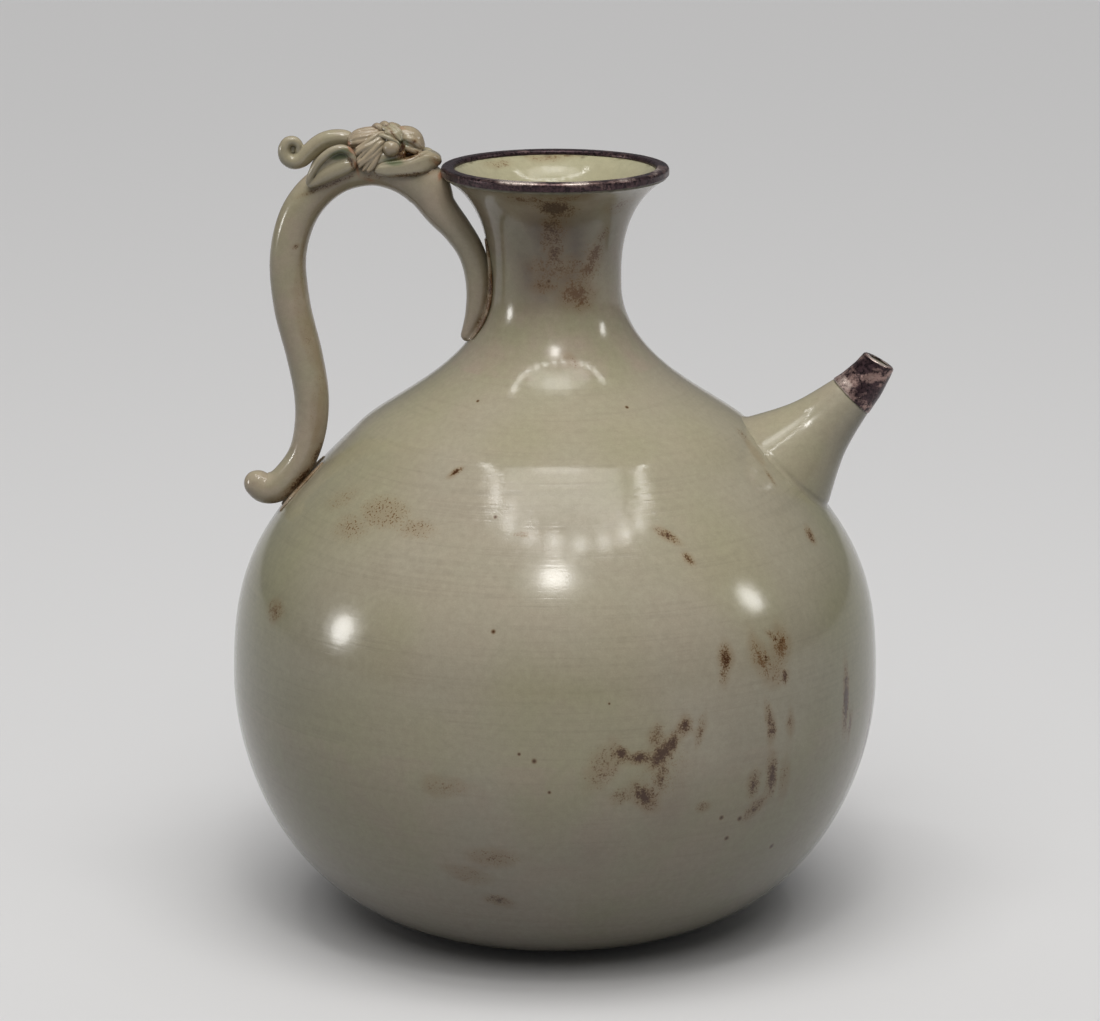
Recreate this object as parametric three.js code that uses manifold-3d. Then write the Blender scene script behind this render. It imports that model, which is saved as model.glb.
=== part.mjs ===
// Celadon wine ewer with a dragon-head handle and two metal mounts.
// Millimetres, +Z up. The origin lies on the pot's axis, on the plane that the foot stands on.
// The spout points along +X and the handle along -X.

import * as THREE from 'three';
import { mergeVertices } from 'three/addons/utils/BufferGeometryUtils.js';
import Module from 'manifold-3d';

const wasm = await Module();
wasm.setup();

// Thrown vessel: radii, and heights counted one above the other
const footRadius = 47;
const footRingWidth = 9;
const footRecess = 1.5;
const footBevel = 1;
const floorThickness = 5.5;
const bellyRadius = 126;
const bellyHeight = 96.5;
const shoulderRadius = 76.9;
const shoulderRise = 98.5;
const neckRadius = 25.6;
const neckRise = 56.5;
const lipRadius = 42.8;
const lipRise = 41.5;
const lipThickness = 3.2;
const lipCollar = 3.3;
const lipShelf = 1.3;
const bodyWall = 5.5;
const neckWall = 4.2;

// Metal band folded over the lip
const bandMetal = 0.6;
const bandDrop = 3.4;
const bandInnerDrop = 1.7;
const bandBevel = 0.5;

// Spout: a flared cone, its radii at the root, half way, under the sleeve and at the tip
const spoutDrop = 13.1;
const spoutRootRadius = 23.2;
const spoutMidRadius = 14.2;
const spoutSeatRadius = 9.4;
const spoutTipRadius = 5.8;
const spoutLength = 35;
const spoutWall = 4.3;
const spoutTipWall = 1.8;
const spoutHoleRadius = 7;
const spoutSink = 9;

// Metal sleeve over the end of the spout
const sleeveLength = 17.8;
const sleeveMetal = 0.5;
const sleeveLipWidth = 1.9;

// Handle: a rolled coil from the shoulder over to the neck
const handleReach = 58.7;
const handleThickness = 14;
const handleWidth = 14;

// Dragon head on the handle, facing the rim
const headLength = 35;
const eyeRadius = 3.4;

// Room left where one piece of clay or metal lies on another, and a cut's overrun
const seatGap = 0.3;
const cutOverrun = 2;

// Angles of the vessel's outline and of the spout, in degrees from level
const footSlope = 5;
const shoulderSlope = 44;
const lipSlope = 31;
const spoutSlope = 46;

// Fineness of the facets
const vesselFacets = 44;
const spoutFacets = 28;
const outlineSteps = 7;
const spoutSteps = 7;
const innerSkip = 3;
const capRings = 2;
const eyeFacets = 12;
const knotSteps = 9;
const knotTurns = 1.5;

// Corners round each coil and rings along it, and how square its section is
const handleFacets = { sides: 12, rings: 44, power: 2.2 };
const skullFacets = { sides: 12, rings: 8 };
const jawFacets = { sides: 16, rings: 10, power: 3 };
const snoutFacets = { sides: 12, rings: 8 };
const crownFacets = { sides: 7, rings: 5 };
const hornFacets = { sides: 9, rings: 13 };
const browFacets = { sides: 6, rings: 7 };
const lockFacets = { sides: 6, rings: 5 };
const earFacets = { sides: 7, rings: 7 };
const knotFacets = { sides: 6, rings: 18 };

// Reach of the outline's curve handles, as shares of each stretch's chord
const bowlShares = [0.462, 0.281];
const bellyShares = [0.388, 0.524];
const shoulderShares = [0.194, 0.394];
const flareShares = [0.12, 0.5];
const neckSeamShare = 0.47;

// Handle stations. Foot: out from and up from where it lands, half thickness and half width
const footShares = [
  [1.26, 0.52, 0.32, 0.3], [1.02, 0.34, 0.37, 0.35], [0.74, 0.17, 0.43, 0.4], [0.38, 0.23, 0.44, 0.44],
  [0, 0.6, 0.43, 0.48], [-0.33, 1.13, 0.42, 0.5], [-0.54, 1.88, 0.45, 0.5],
];
// Arch: share of the reach beyond the rim, and of the rise from the shoulder to the rim
const archShares = [
  [0.86, 0.3, 0.48, 0.5], [0.9, 0.42, 0.5, 0.5], [0.98, 0.58, 0.51, 0.5], [1, 0.73, 0.5, 0.5],
  [0.93, 0.85, 0.51, 0.5], [0.81, 0.925, 0.5, 0.5], [0.65, 0.972, 0.47, 0.5], [0.46, 0.99, 0.46, 0.5],
  [0.28, 0.98, 0.52, 0.5], [0.1, 0.94, 0.62, 0.52],
];
// Leg: share of the height from the neck's waist to the lip, and lift off the neck
const legShares = [
  [0.7, 0.94, 0.48, 0.52], [0.5, 0.7, 0.4, 0.5], [0.3, 0.45, 0.37, 0.47], [0.04, 0.28, 0.36, 0.44],
  [-0.26, 0.21, 0.3, 0.36], [-0.54, 0.08, 0.14, 0.18],
];

// Head stations: back from the rim, aside, up from the rim's top, half thickness and half width.
// Aside and half width are shares of the handle's width, the others of the head's length.
const skullShares = [
  [0.96, 0, 0.05, 0.09, 0.3], [0.85, 0, 0.13, 0.15, 0.43], [0.72, 0, 0.18, 0.18, 0.5],
  [0.57, 0, 0.185, 0.19, 0.5], [0.44, 0, 0.19, 0.16, 0.43], [0.33, 0, 0.17, 0.1, 0.3],
];
const snoutShares = [
  [0.49, 0, 0.26, 0.1, 0.35], [0.405, 0, 0.3, 0.14, 0.4], [0.32, 0, 0.285, 0.13, 0.37],
  [0.245, 0, 0.235, 0.1, 0.32], [0.185, 0, 0.165, 0.055, 0.25],
];
const jawShares = [
  [0.73, 0, -0.018, 0.044, 0.64], [0.6, 0, -0.017, 0.071, 0.67], [0.455, 0, -0.011, 0.093, 0.68],
  [0.315, 0, 0.011, 0.109, 0.67], [0.17, 0, 0.06, 0.12, 0.6], [0.08, 0, 0.072, 0.1, 0.45],
  [-0.01, 0, 0.033, 0.05, 0.22],
];
const browShares = [
  [0.59, 0.3, 0.385, 0.035, 0.09], [0.51, 0.45, 0.385, 0.045, 0.11],
  [0.43, 0.5, 0.335, 0.04, 0.1], [0.35, 0.45, 0.25, 0.03, 0.075],
];
const crownShares = [
  [[0.97, 0.3, 0.24, 0.05, 0.125], [0.88, 0.32, 0.28, 0.09, 0.19], [0.77, 0.28, 0.32, 0.09, 0.19],
    [0.67, 0.17, 0.36, 0.06, 0.125]],
  [[0.99, 0.02, 0.25, 0.05, 0.125], [0.89, 0.02, 0.3, 0.095, 0.2], [0.78, 0.02, 0.34, 0.09, 0.2],
    [0.67, 0.02, 0.38, 0.06, 0.125]],
  [[0.97, -0.26, 0.24, 0.05, 0.125], [0.88, -0.28, 0.28, 0.09, 0.19], [0.77, -0.25, 0.32, 0.09, 0.19],
    [0.67, -0.15, 0.36, 0.06, 0.125]],
];
const lockShares = [
  [[0.56, 0.35, 0.41, 0.035, 0.1], [0.67, 0.5, 0.33, 0.055, 0.125], [0.78, 0.575, 0.23, 0.055, 0.125],
    [0.86, 0.6, 0.13, 0.05, 0.11], [0.91, 0.6, 0.05, 0.025, 0.075]],
  [[0.57, 0.425, 0.36, 0.035, 0.1], [0.66, 0.56, 0.26, 0.055, 0.125], [0.755, 0.62, 0.155, 0.055, 0.125],
    [0.84, 0.63, 0.06, 0.05, 0.11], [0.89, 0.63, -0.01, 0.025, 0.075]],
  [[0.58, 0.46, 0.3, 0.035, 0.1], [0.656, 0.59, 0.2, 0.055, 0.125], [0.73, 0.63, 0.1, 0.055, 0.125],
    [0.8, 0.64, 0.015, 0.05, 0.11], [0.855, 0.64, -0.03, 0.025, 0.075]],
  [[0.605, 0.46, 0.21, 0.03, 0.1], [0.658, 0.59, 0.13, 0.045, 0.125], [0.7, 0.63, 0.06, 0.05, 0.125],
    [0.745, 0.64, 0, 0.025, 0.075]],
];
// Ear: a leaf, the roll along its lower edge and the rim curled over its top
const earShares = [
  [[1.4, 0.5, -0.15, 0.05, 0.08], [1.27, 0.53, 0, 0.1, 0.09], [1.12, 0.53, 0.1, 0.12, 0.09],
    [0.99, 0.5, 0.12, 0.08, 0.09]],
  [[1.43, 0.56, -0.19, 0.03, 0.075], [1.32, 0.59, -0.09, 0.07, 0.14], [1.19, 0.6, -0.005, 0.095, 0.16],
    [1.06, 0.59, 0.06, 0.1, 0.15], [0.95, 0.56, 0.085, 0.07, 0.125]],
  [[1.42, 0.6, -0.16, 0.035, 0.09], [1.37, 0.65, -0.015, 0.045, 0.11], [1.295, 0.675, 0.105, 0.05, 0.125],
    [1.195, 0.675, 0.19, 0.05, 0.125], [1.09, 0.66, 0.225, 0.05, 0.125], [0.995, 0.625, 0.195, 0.05, 0.125],
    [0.95, 0.6, 0.105, 0.045, 0.11]],
];
// Horn: the arm that lies back over the handle, and the scroll that it ends in
const hornShares = [
  [[0.97, 0.22, 0.27, 0.078, 0.2], [1.064, 0.23, 0.288, 0.092, 0.23], [1.17, 0.25, 0.282, 0.098, 0.25],
    [1.28, 0.265, 0.25, 0.098, 0.25], [1.37, 0.28, 0.19, 0.098, 0.25], [1.45, 0.285, 0.117, 0.096, 0.24],
    [1.53, 0.285, 0.045, 0.093, 0.235], [1.615, 0.285, 0.023, 0.088, 0.22]],
  [[1.53, 0.285, 0.045, 0.088, 0.22], [1.615, 0.285, 0.023, 0.085, 0.215],
    [1.69, 0.285, 0.067, 0.077, 0.2], [1.71, 0.285, 0.16, 0.068, 0.18],
    [1.667, 0.285, 0.238, 0.061, 0.16], [1.595, 0.285, 0.249, 0.055, 0.145],
    [1.542, 0.285, 0.194, 0.048, 0.13], [1.562, 0.285, 0.133, 0.038, 0.105]],
];
const eyeShares = [0.52, 0.46, 0.21];
// Topknot: its back and front ends, the swing of its strands and the arch between its ends
const knotEndShares = [[0.74, 0.385], [0.46, 0.395]];
const knotSwingShares = [0.11, 0.035];
const knotArchShare = 0.025;
const knotStrandShares = [0.042, 0.12];

const shoulderHeight = bellyHeight + shoulderRise;
const neckHeight = shoulderHeight + neckRise;
const lipBase = neckHeight + lipRise;
const lipTop = lipBase + lipCollar;
const neckSeam = shoulderHeight + neckSeamShare * neckRise;
const floorHeight = footRecess + floorThickness;
const rimRadius = lipRadius + seatGap + bandMetal;
const rimHeight = lipTop + seatGap + bandMetal;

const celadon = { color: 0x9a9a80, roughness: 0.22, metalness: 0 };
const thinGlaze = { color: 0xa89a82, roughness: 0.4, metalness: 0 };
const tarnish = { color: 0x4a3a3c, roughness: 0.45, metalness: 0.9 };

// Solids: a geometry's bare triangles as a solid, with its faces turned to point out
function toSolid(geometry) {
  const bare = geometry.clone();
  bare.deleteAttribute('normal');
  bare.deleteAttribute('uv');
  const merged = mergeVertices(bare);
  return new wasm.Manifold(new wasm.Mesh({
    numProp: 3,
    vertProperties: Float32Array.from(merged.attributes.position.array),
    triVerts: Uint32Array.from(merged.index.array),
  }));
}

function outward(geometry) {
  const solid = toSolid(geometry);
  if (solid.volume() > 0) {
    return solid;
  }
  const flipped = geometry.clone();
  const index = flipped.index.array;
  for (let corner = 0; corner < index.length; corner += 3) {
    [index[corner + 1], index[corner + 2]] = [index[corner + 2], index[corner + 1]];
  }
  return toSolid(flipped);
}

function toGeometry(solid) {
  const mesh = solid.getMesh();
  const geometry = new THREE.BufferGeometry();
  geometry.setAttribute('position', new THREE.BufferAttribute(mesh.vertProperties, 3));
  geometry.setIndex(new THREE.BufferAttribute(mesh.triVerts, 1));
  geometry.computeVertexNormals();
  return geometry;
}

function fuse(solids) {
  return solids.reduce((sum, solid) => sum.add(solid));
}

// A piece cut back by its neighbours' seats, without the crumbs that a cut leaves
function carve(solid, seats) {
  const rest = seats.reduce((left, seat) => left.subtract(seat), solid);
  return rest.decompose().reduce((best, piece) => (piece.volume() > best.volume() ? piece : best));
}

// A lathe turns about Y, so its solid is stood up along Z
function turned(profile, facets = vesselFacets) {
  return outward(new THREE.LatheGeometry(profile, facets).rotateX(Math.PI / 2));
}

function ring(profile, facets = vesselFacets) {
  return turned([...profile, profile[0]], facets);
}

// Outline of the vessel's outer face, from the foot up to the underside of the lip
function stretch(start, startAngle, end, endAngle, shares) {
  const chord = start.distanceTo(end);
  const heading = (angle) => new THREE.Vector2(Math.cos(angle), Math.sin(angle));
  const leave = start.clone().addScaledVector(heading(startAngle), shares[0] * chord);
  const arrive = end.clone().addScaledVector(heading(endAngle), -shares[1] * chord);
  return new THREE.CubicBezierCurve(start, leave, arrive, end);
}

function vesselOutline() {
  const upright = Math.PI / 2;
  const turn = Math.PI - THREE.MathUtils.degToRad(shoulderSlope);
  const foot = new THREE.Vector2(footRadius, 0);
  const belly = new THREE.Vector2(bellyRadius, bellyHeight);
  const shoulder = new THREE.Vector2(shoulderRadius, shoulderHeight);
  const waist = new THREE.Vector2(neckRadius, neckHeight);
  const lip = new THREE.Vector2(lipRadius, lipBase);
  const stretches = [
    stretch(foot, THREE.MathUtils.degToRad(footSlope), belly, upright, bowlShares),
    stretch(belly, upright, shoulder, turn, bellyShares),
    stretch(shoulder, turn, waist, upright, shoulderShares),
    stretch(waist, upright, lip, THREE.MathUtils.degToRad(lipSlope), flareShares),
  ];
  const points = stretches.flatMap((curve) => curve.getPoints(outlineSteps).slice(1));
  return [foot, ...points];
}

function wallAt(height) {
  const thinning = THREE.MathUtils.smoothstep(height, shoulderHeight, neckHeight);
  return THREE.MathUtils.lerp(bodyWall, neckWall, thinning);
}

// An outline moved along its own normal: inwards for the inner face, outwards for a seat
function offsetOutline(points, distanceAt) {
  return points.map((point, index) => {
    const before = points[Math.max(index - 1, 0)];
    const after = points[Math.min(index + 1, points.length - 1)];
    const along = after.clone().sub(before).normalize();
    const normal = new THREE.Vector2(along.y, -along.x);
    return point.clone().addScaledVector(normal, distanceAt(point.y));
  });
}

function radiusAt(points, height) {
  const above = points.findIndex((point, index) => index > 0 && point.y >= height);
  if (above < 0) {
    return points[points.length - 1].x;
  }
  const low = points[above - 1];
  const high = points[above];
  return THREE.MathUtils.lerp(low.x, high.x, (height - low.y) / (high.y - low.y));
}

// Height of the shoulder at a radius between the neck and the belly
function shoulderHeightAt(points, radius) {
  const inside = points.findIndex((point) => point.y > bellyHeight && point.x <= radius);
  const low = points[inside - 1];
  const high = points[inside];
  return THREE.MathUtils.lerp(low.y, high.y, (low.x - radius) / (low.x - high.x));
}

function between(points, low, high) {
  return [
    new THREE.Vector2(radiusAt(points, low), low),
    ...points.filter((point) => point.y > low && point.y < high),
    new THREE.Vector2(radiusAt(points, high), high),
  ];
}

function thinned(points) {
  return points.filter((point, index) => index % innerSkip === 0 || index === points.length - 1);
}

const outline = vesselOutline();
const innerOutline = offsetOutline(outline, (height) => -wallAt(height));

// Lower bowl: foot ring, recessed base and wall up to the widest line
function lowerBody() {
  return turned([
    new THREE.Vector2(0, footRecess),
    new THREE.Vector2(footRadius - footRingWidth, footRecess),
    new THREE.Vector2(footRadius - footRingWidth + footBevel, 0),
    new THREE.Vector2(footRadius - footBevel, 0),
    ...between(outline, footBevel, bellyHeight),
    ...thinned(between(innerOutline, floorHeight, bellyHeight).reverse()),
    new THREE.Vector2(0, floorHeight),
  ]);
}

function upperBody() {
  return ring([
    ...between(outline, bellyHeight, neckSeam),
    ...thinned(between(innerOutline, bellyHeight, neckSeam).reverse()),
  ]);
}

// Neck: flared mouth, its lip ground back for the metal band
function neck() {
  const shelfHeight = lipTop - lipShelf;
  const inner = thinned(between(innerOutline, neckSeam, shelfHeight).reverse());
  return ring([
    ...between(outline, neckSeam, lipBase),
    new THREE.Vector2(lipRadius, lipTop),
    new THREE.Vector2(lipRadius - lipThickness, lipTop),
    new THREE.Vector2(Math.max(lipRadius - lipThickness, inner[0].x), shelfHeight),
    ...inner,
  ]);
}

function rimBand() {
  const inside = lipRadius - lipThickness - seatGap - bandMetal;
  const roof = rimHeight - bandMetal;
  return ring([
    new THREE.Vector2(rimRadius - bandMetal, rimHeight - bandDrop),
    new THREE.Vector2(rimRadius, rimHeight - bandDrop),
    new THREE.Vector2(rimRadius, rimHeight - bandBevel),
    new THREE.Vector2(rimRadius - bandBevel, rimHeight),
    new THREE.Vector2(inside + bandBevel, rimHeight),
    new THREE.Vector2(inside, rimHeight - bandBevel),
    new THREE.Vector2(inside, rimHeight - bandInnerDrop),
    new THREE.Vector2(inside + bandMetal, rimHeight - bandInnerDrop),
    new THREE.Vector2(inside + bandMetal, roof),
    new THREE.Vector2(rimRadius - bandMetal, roof),
  ]);
}

// The whole pot without its hollow, a seat gap larger all round, which what lies on it is cut by
function potSeat() {
  const grown = offsetOutline(outline, () => seatGap).filter((point) => point.y > 0);
  const underBand = rimHeight - bandDrop - seatGap;
  return turned([
    new THREE.Vector2(0, 0),
    new THREE.Vector2(footRadius, 0),
    ...grown,
    new THREE.Vector2(lipRadius + seatGap, underBand),
    new THREE.Vector2(rimRadius + seatGap, underBand),
    new THREE.Vector2(rimRadius + seatGap, rimHeight + cutOverrun),
    new THREE.Vector2(0, rimHeight + cutOverrun),
  ]);
}

// Spout frame: its axis starts on the shoulder, in the middle of its root
const spoutRootHeight = shoulderHeight - spoutDrop;
const spoutRoot = new THREE.Vector3(radiusAt(outline, spoutRootHeight), 0, spoutRootHeight);
const spoutEnd = spoutLength + sleeveLength - sleeveMetal - seatGap;

function placeOnSpout(solid) {
  const turn = Math.PI / 2 - THREE.MathUtils.degToRad(spoutSlope);
  return solid.transform(new THREE.Matrix4().makeRotationY(turn).setPosition(spoutRoot).elements);
}

function spoutShell() {
  const flare = new THREE.SplineCurve([
    new THREE.Vector2(spoutRootRadius, 0),
    new THREE.Vector2(spoutMidRadius, spoutLength / 2),
    new THREE.Vector2(spoutSeatRadius, spoutLength),
  ]).getPoints(spoutSteps);
  const bore = thinned(flare).map((point) => new THREE.Vector2(point.x - spoutWall, point.y));
  return placeOnSpout(ring([
    new THREE.Vector2(spoutRootRadius, -spoutSink),
    ...flare,
    new THREE.Vector2(spoutSeatRadius - sleeveMetal, spoutLength),
    new THREE.Vector2(spoutTipRadius, spoutEnd),
    new THREE.Vector2(spoutTipRadius - spoutTipWall, spoutEnd),
    ...bore.reverse(),
    new THREE.Vector2(spoutRootRadius - spoutWall, -spoutSink),
  ], spoutFacets));
}

function spoutSleeve() {
  const seat = spoutSeatRadius - sleeveMetal + seatGap;
  const tip = spoutTipRadius + seatGap;
  const start = spoutLength + seatGap;
  const end = spoutEnd + seatGap;
  return placeOnSpout(ring([
    new THREE.Vector2(seat, start),
    new THREE.Vector2(seat + sleeveMetal, start),
    new THREE.Vector2(tip + sleeveMetal, end),
    new THREE.Vector2(tip, end + sleeveMetal),
    new THREE.Vector2(tip - sleeveLipWidth, end + sleeveMetal),
    new THREE.Vector2(tip - sleeveLipWidth, end),
    new THREE.Vector2(tip, end),
  ], spoutFacets));
}

function spoutHole() {
  return placeOnSpout(turned([
    new THREE.Vector2(0, -spoutSink - bodyWall),
    new THREE.Vector2(spoutHoleRadius, -spoutSink - bodyWall),
    new THREE.Vector2(spoutHoleRadius, spoutSink),
    new THREE.Vector2(0, spoutSink),
  ], spoutFacets));
}

// Distance along a coil and fullness of its section at each ring, rounded off at both ends
function coilRings(length, startCap, endCap, rings, grow) {
  const stations = [];
  const run = length + 2 * grow - startCap - endCap;
  for (let step = 1; step <= capRings; step += 1) {
    const angle = (step / capRings) * Math.PI / 2;
    stations.push([startCap * (1 - Math.cos(angle)) - grow, Math.sin(angle)]);
  }
  for (let step = 1; step < rings; step += 1) {
    stations.push([startCap - grow + run * (step / rings), 1]);
  }
  for (let step = capRings; step >= 1; step -= 1) {
    const angle = (step / capRings) * Math.PI / 2;
    stations.push([length + grow - endCap * (1 - Math.cos(angle)), Math.sin(angle)]);
  }
  return stations;
}

function coilTriangles(sides, rows) {
  const end = 1 + rows * sides;
  const triangles = [];
  for (let corner = 0; corner < sides; corner += 1) {
    const next = (corner + 1) % sides;
    triangles.push(0, 1 + next, 1 + corner);
    for (let row = 0; row < rows - 1; row += 1) {
      const low = 1 + row * sides;
      const high = low + sides;
      triangles.push(low + corner, low + next, high + next, low + corner, high + next, high + corner);
    }
    triangles.push(end, end - sides + corner, end - sides + next);
  }
  return triangles;
}

// A coil of clay: an oval or squarer section carried along a curve, with rounded ends.
// Each station is a point, a half thickness in the handle's plane and a half width across it.
function coil({ stations, sides, rings, power = 2 }, grow = 0) {
  const across = new THREE.Vector3(0, 1, 0);
  const curve = new THREE.CatmullRomCurve3(stations.map((station) => station.point));
  const sizes = new THREE.CatmullRomCurve3(
    stations.map((station) => new THREE.Vector3(station.thick, station.wide, 0)),
  );
  const length = curve.getLength();
  const startCap = stations[0].thick + grow;
  const endCap = stations[stations.length - 1].thick + grow;
  const placed = coilRings(length, startCap, endCap, rings, grow);
  const bulge = (value) => Math.sign(value) * Math.abs(value) ** (2 / power);
  const frameAt = (distance) => {
    const inside = THREE.MathUtils.clamp(distance, 0, length);
    const share = curve.getUtoTmapping(inside / length);
    const along = curve.getTangent(share);
    const side = across.clone().addScaledVector(along, -across.dot(along)).normalize();
    return {
      centre: curve.getPoint(share).addScaledVector(along, distance - inside),
      side,
      up: side.clone().cross(along),
      size: sizes.getPoint(share),
    };
  };
  const corners = [frameAt(-grow).centre];
  for (const [distance, fullness] of placed) {
    const { centre, side, up, size } = frameAt(distance);
    for (let corner = 0; corner < sides; corner += 1) {
      const angle = (corner / sides) * Math.PI * 2;
      corners.push(centre.clone()
        .addScaledVector(up, bulge(Math.cos(angle)) * (size.x + grow) * fullness)
        .addScaledVector(side, bulge(Math.sin(angle)) * (size.y + grow) * fullness));
    }
  }
  corners.push(frameAt(length + grow).centre);
  const geometry = new THREE.BufferGeometry().setFromPoints(corners);
  geometry.setIndex(coilTriangles(sides, placed.length));
  return outward(geometry);
}

// A piece at its own size, and grown by the seat gap, which its neighbours are cut by
function formed(forms) {
  const own = fuse(forms.map((form) => coil(form)));
  const seat = fuse(forms.map((form) => coil(form, seatGap)));
  return { own, seat };
}

// Handle: its foot lies on the shoulder with the tip curled up, and its top leg lies down the neck
function handleStations() {
  const landX = rimRadius + handleReach;
  const landZ = shoulderHeightAt(outline, landX);
  const station = (x, z, thick, wide) => ({
    point: new THREE.Vector3(-x, 0, z),
    thick: thick * handleThickness,
    wide: wide * handleWidth,
  });
  const foot = footShares.map(([out, up, thick, wide]) => (
    station(landX + out * handleThickness, landZ + up * handleThickness, thick, wide)));
  const arch = archShares.map(([reach, rise, thick, wide]) => (
    station(rimRadius + reach * handleReach, THREE.MathUtils.lerp(landZ, rimHeight, rise), thick, wide)));
  const leg = legShares.map(([height, lift, thick, wide]) => {
    const z = neckHeight + height * lipRise;
    return station(radiusAt(outline, z) + lift * handleThickness, z, thick, wide);
  });
  return [...foot, ...arch, ...leg];
}

// Head frame: counted back from the rim, aside from the handle's plane, and up from the rim's top
function headPoint([back, aside, up], hand) {
  return new THREE.Vector3(
    -rimRadius - back * headLength,
    hand * aside * handleWidth,
    rimHeight + up * headLength,
  );
}

function headForm(rowShares, facets, hand = 1) {
  const stations = rowShares.map((row) => ({
    point: headPoint(row, hand),
    thick: row[3] * headLength,
    wide: row[4] * handleWidth,
  }));
  return { stations, ...facets };
}

function eyeball(hand) {
  const centre = headPoint(eyeShares, hand);
  const ball = (radius) => outward(new THREE.SphereGeometry(radius, eyeFacets, eyeFacets / 2)
    .translate(centre.x, centre.y, centre.z));
  return { own: ball(eyeRadius), seat: ball(eyeRadius + seatGap) };
}

// Topknot: two strands wound round each other, lying along the crown of the head
function topknot() {
  const [[back, backUp], [front, frontUp]] = knotEndShares;
  const [swing, lift] = knotSwingShares;
  const strands = [0, Math.PI].map((phase) => {
    const rows = [];
    for (let step = 0; step <= knotSteps; step += 1) {
      const share = step / knotSteps;
      const angle = phase + share * knotTurns * Math.PI * 2;
      const arch = knotArchShare * Math.sin(share * Math.PI);
      const along = THREE.MathUtils.lerp(back, front, share);
      const up = THREE.MathUtils.lerp(backUp, frontUp, share) + arch + Math.sin(angle) * lift;
      rows.push([along, Math.cos(angle) * swing, up, ...knotStrandShares]);
    }
    return headForm(rows, knotFacets);
  });
  return formed(strands);
}

const pot = potSeat();
const handle = formed([{ stations: handleStations(), ...handleFacets }]);
const skull = formed([headForm(skullShares, skullFacets)]);
const jaw = formed([headForm(jawShares, jawFacets)]);
const snout = formed([headForm(snoutShares, snoutFacets)]);
const crown = formed(crownShares.map((rows) => headForm(rows, crownFacets)));
const horn = formed(hornShares.map((rows) => headForm(rows, hornFacets)));
const knot = topknot();
const pairs = [['near', -1], ['far', 1]].map(([label, hand]) => ({
  label,
  eye: eyeball(hand),
  brow: formed([headForm(browShares, browFacets, hand)]),
  tuft: formed(lockShares.map((rows) => headForm(rows, lockFacets, hand))),
  ear: formed(earShares.map((rows) => headForm(rows, earFacets, hand))),
}));
const seatsOf = (kind) => pairs.map((pair) => pair[kind].seat);

const part = new THREE.Group();

function addPiece(name, solid, finish) {
  const material = new THREE.MeshStandardMaterial({ ...finish, flatShading: true });
  const mesh = new THREE.Mesh(toGeometry(solid), material);
  mesh.name = name;
  part.add(mesh);
}

addPiece('body_lower', lowerBody(), celadon);
addPiece('body_upper', upperBody().subtract(spoutHole()), celadon);
addPiece('neck', neck(), celadon);
addPiece('rim_band', rimBand(), tarnish);
addPiece('spout', carve(spoutShell(), [pot]), celadon);
addPiece('spout_sleeve', spoutSleeve(), tarnish);
addPiece('handle', carve(handle.own, [pot]), celadon);

addPiece('dragon_skull', carve(skull.own, [handle.seat]), thinGlaze);
addPiece('dragon_jaw', carve(jaw.own, [handle.seat, skull.seat, pot]), celadon);
addPiece('dragon_snout', carve(snout.own, [skull.seat, jaw.seat]), thinGlaze);
addPiece('topknot', carve(knot.own, [skull.seat, snout.seat, ...seatsOf('brow')]), thinGlaze);
addPiece('crown_lobe', carve(crown.own, [handle.seat, skull.seat, knot.seat]), thinGlaze);
addPiece('horn', carve(horn.own, [
  handle.seat, skull.seat, crown.seat, ...seatsOf('ear'), ...seatsOf('tuft'),
]), celadon);

for (const { label, eye, brow, tuft, ear } of pairs) {
  const bones = [handle.seat, skull.seat, jaw.seat];
  addPiece(`eye_${label}`, carve(eye.own, [...bones, snout.seat]), celadon);
  addPiece(`brow_${label}`, carve(brow.own, [skull.seat, snout.seat, ...seatsOf('eye')]), celadon);
  addPiece(`mane_tuft_${label}`, carve(tuft.own, [
    ...bones, knot.seat, crown.seat, ...seatsOf('eye'), ...seatsOf('brow'),
  ]), thinGlaze);
  addPiece(`ear_${label}`, carve(ear.own, [...bones, crown.seat, ...seatsOf('tuft')]), celadon);
}

export default part;
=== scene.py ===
import math

import bpy
import numpy as np
from mathutils import Matrix, Vector
from mathutils.bvhtree import BVHTree


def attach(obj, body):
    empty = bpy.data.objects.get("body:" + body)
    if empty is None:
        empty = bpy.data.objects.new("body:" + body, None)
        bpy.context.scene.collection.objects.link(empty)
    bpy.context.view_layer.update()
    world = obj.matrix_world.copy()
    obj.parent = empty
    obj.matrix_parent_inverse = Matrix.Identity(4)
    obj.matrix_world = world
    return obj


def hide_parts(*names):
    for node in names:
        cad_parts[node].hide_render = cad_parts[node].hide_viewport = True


# Celadon ewer: glazed forms, tarnished mounts, stains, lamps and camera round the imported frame.
# Lengths in the dictionaries are millimetres, angles are degrees.

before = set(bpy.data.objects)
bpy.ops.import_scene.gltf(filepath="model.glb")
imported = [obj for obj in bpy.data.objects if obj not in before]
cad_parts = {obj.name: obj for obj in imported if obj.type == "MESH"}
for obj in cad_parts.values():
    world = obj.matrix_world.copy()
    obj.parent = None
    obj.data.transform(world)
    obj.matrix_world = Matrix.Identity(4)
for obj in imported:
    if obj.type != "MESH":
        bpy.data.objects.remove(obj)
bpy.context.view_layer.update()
mm = 0.001


# Camera at the photograph's place, and the room
room = {
    "cameraPlace": (-1.95, -1485.2, 529.1),
    "cameraTilt": 76.1,
    "lens": 128.45,
    "sensor": 36,
    "farthest": 100000,
    "aimHeight": 150,
    "floorSize": 40000,
    "floorColour": (0.68, 0.68, 0.69),
    "floorBounce": (0.2, 0.2, 0.205),
    "floorRoughness": 0.9,
    "floorShine": 0.1,
    "worldColour": (0.82, 0.84, 0.88),
    "worldLevel": 0.15,
}

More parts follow.
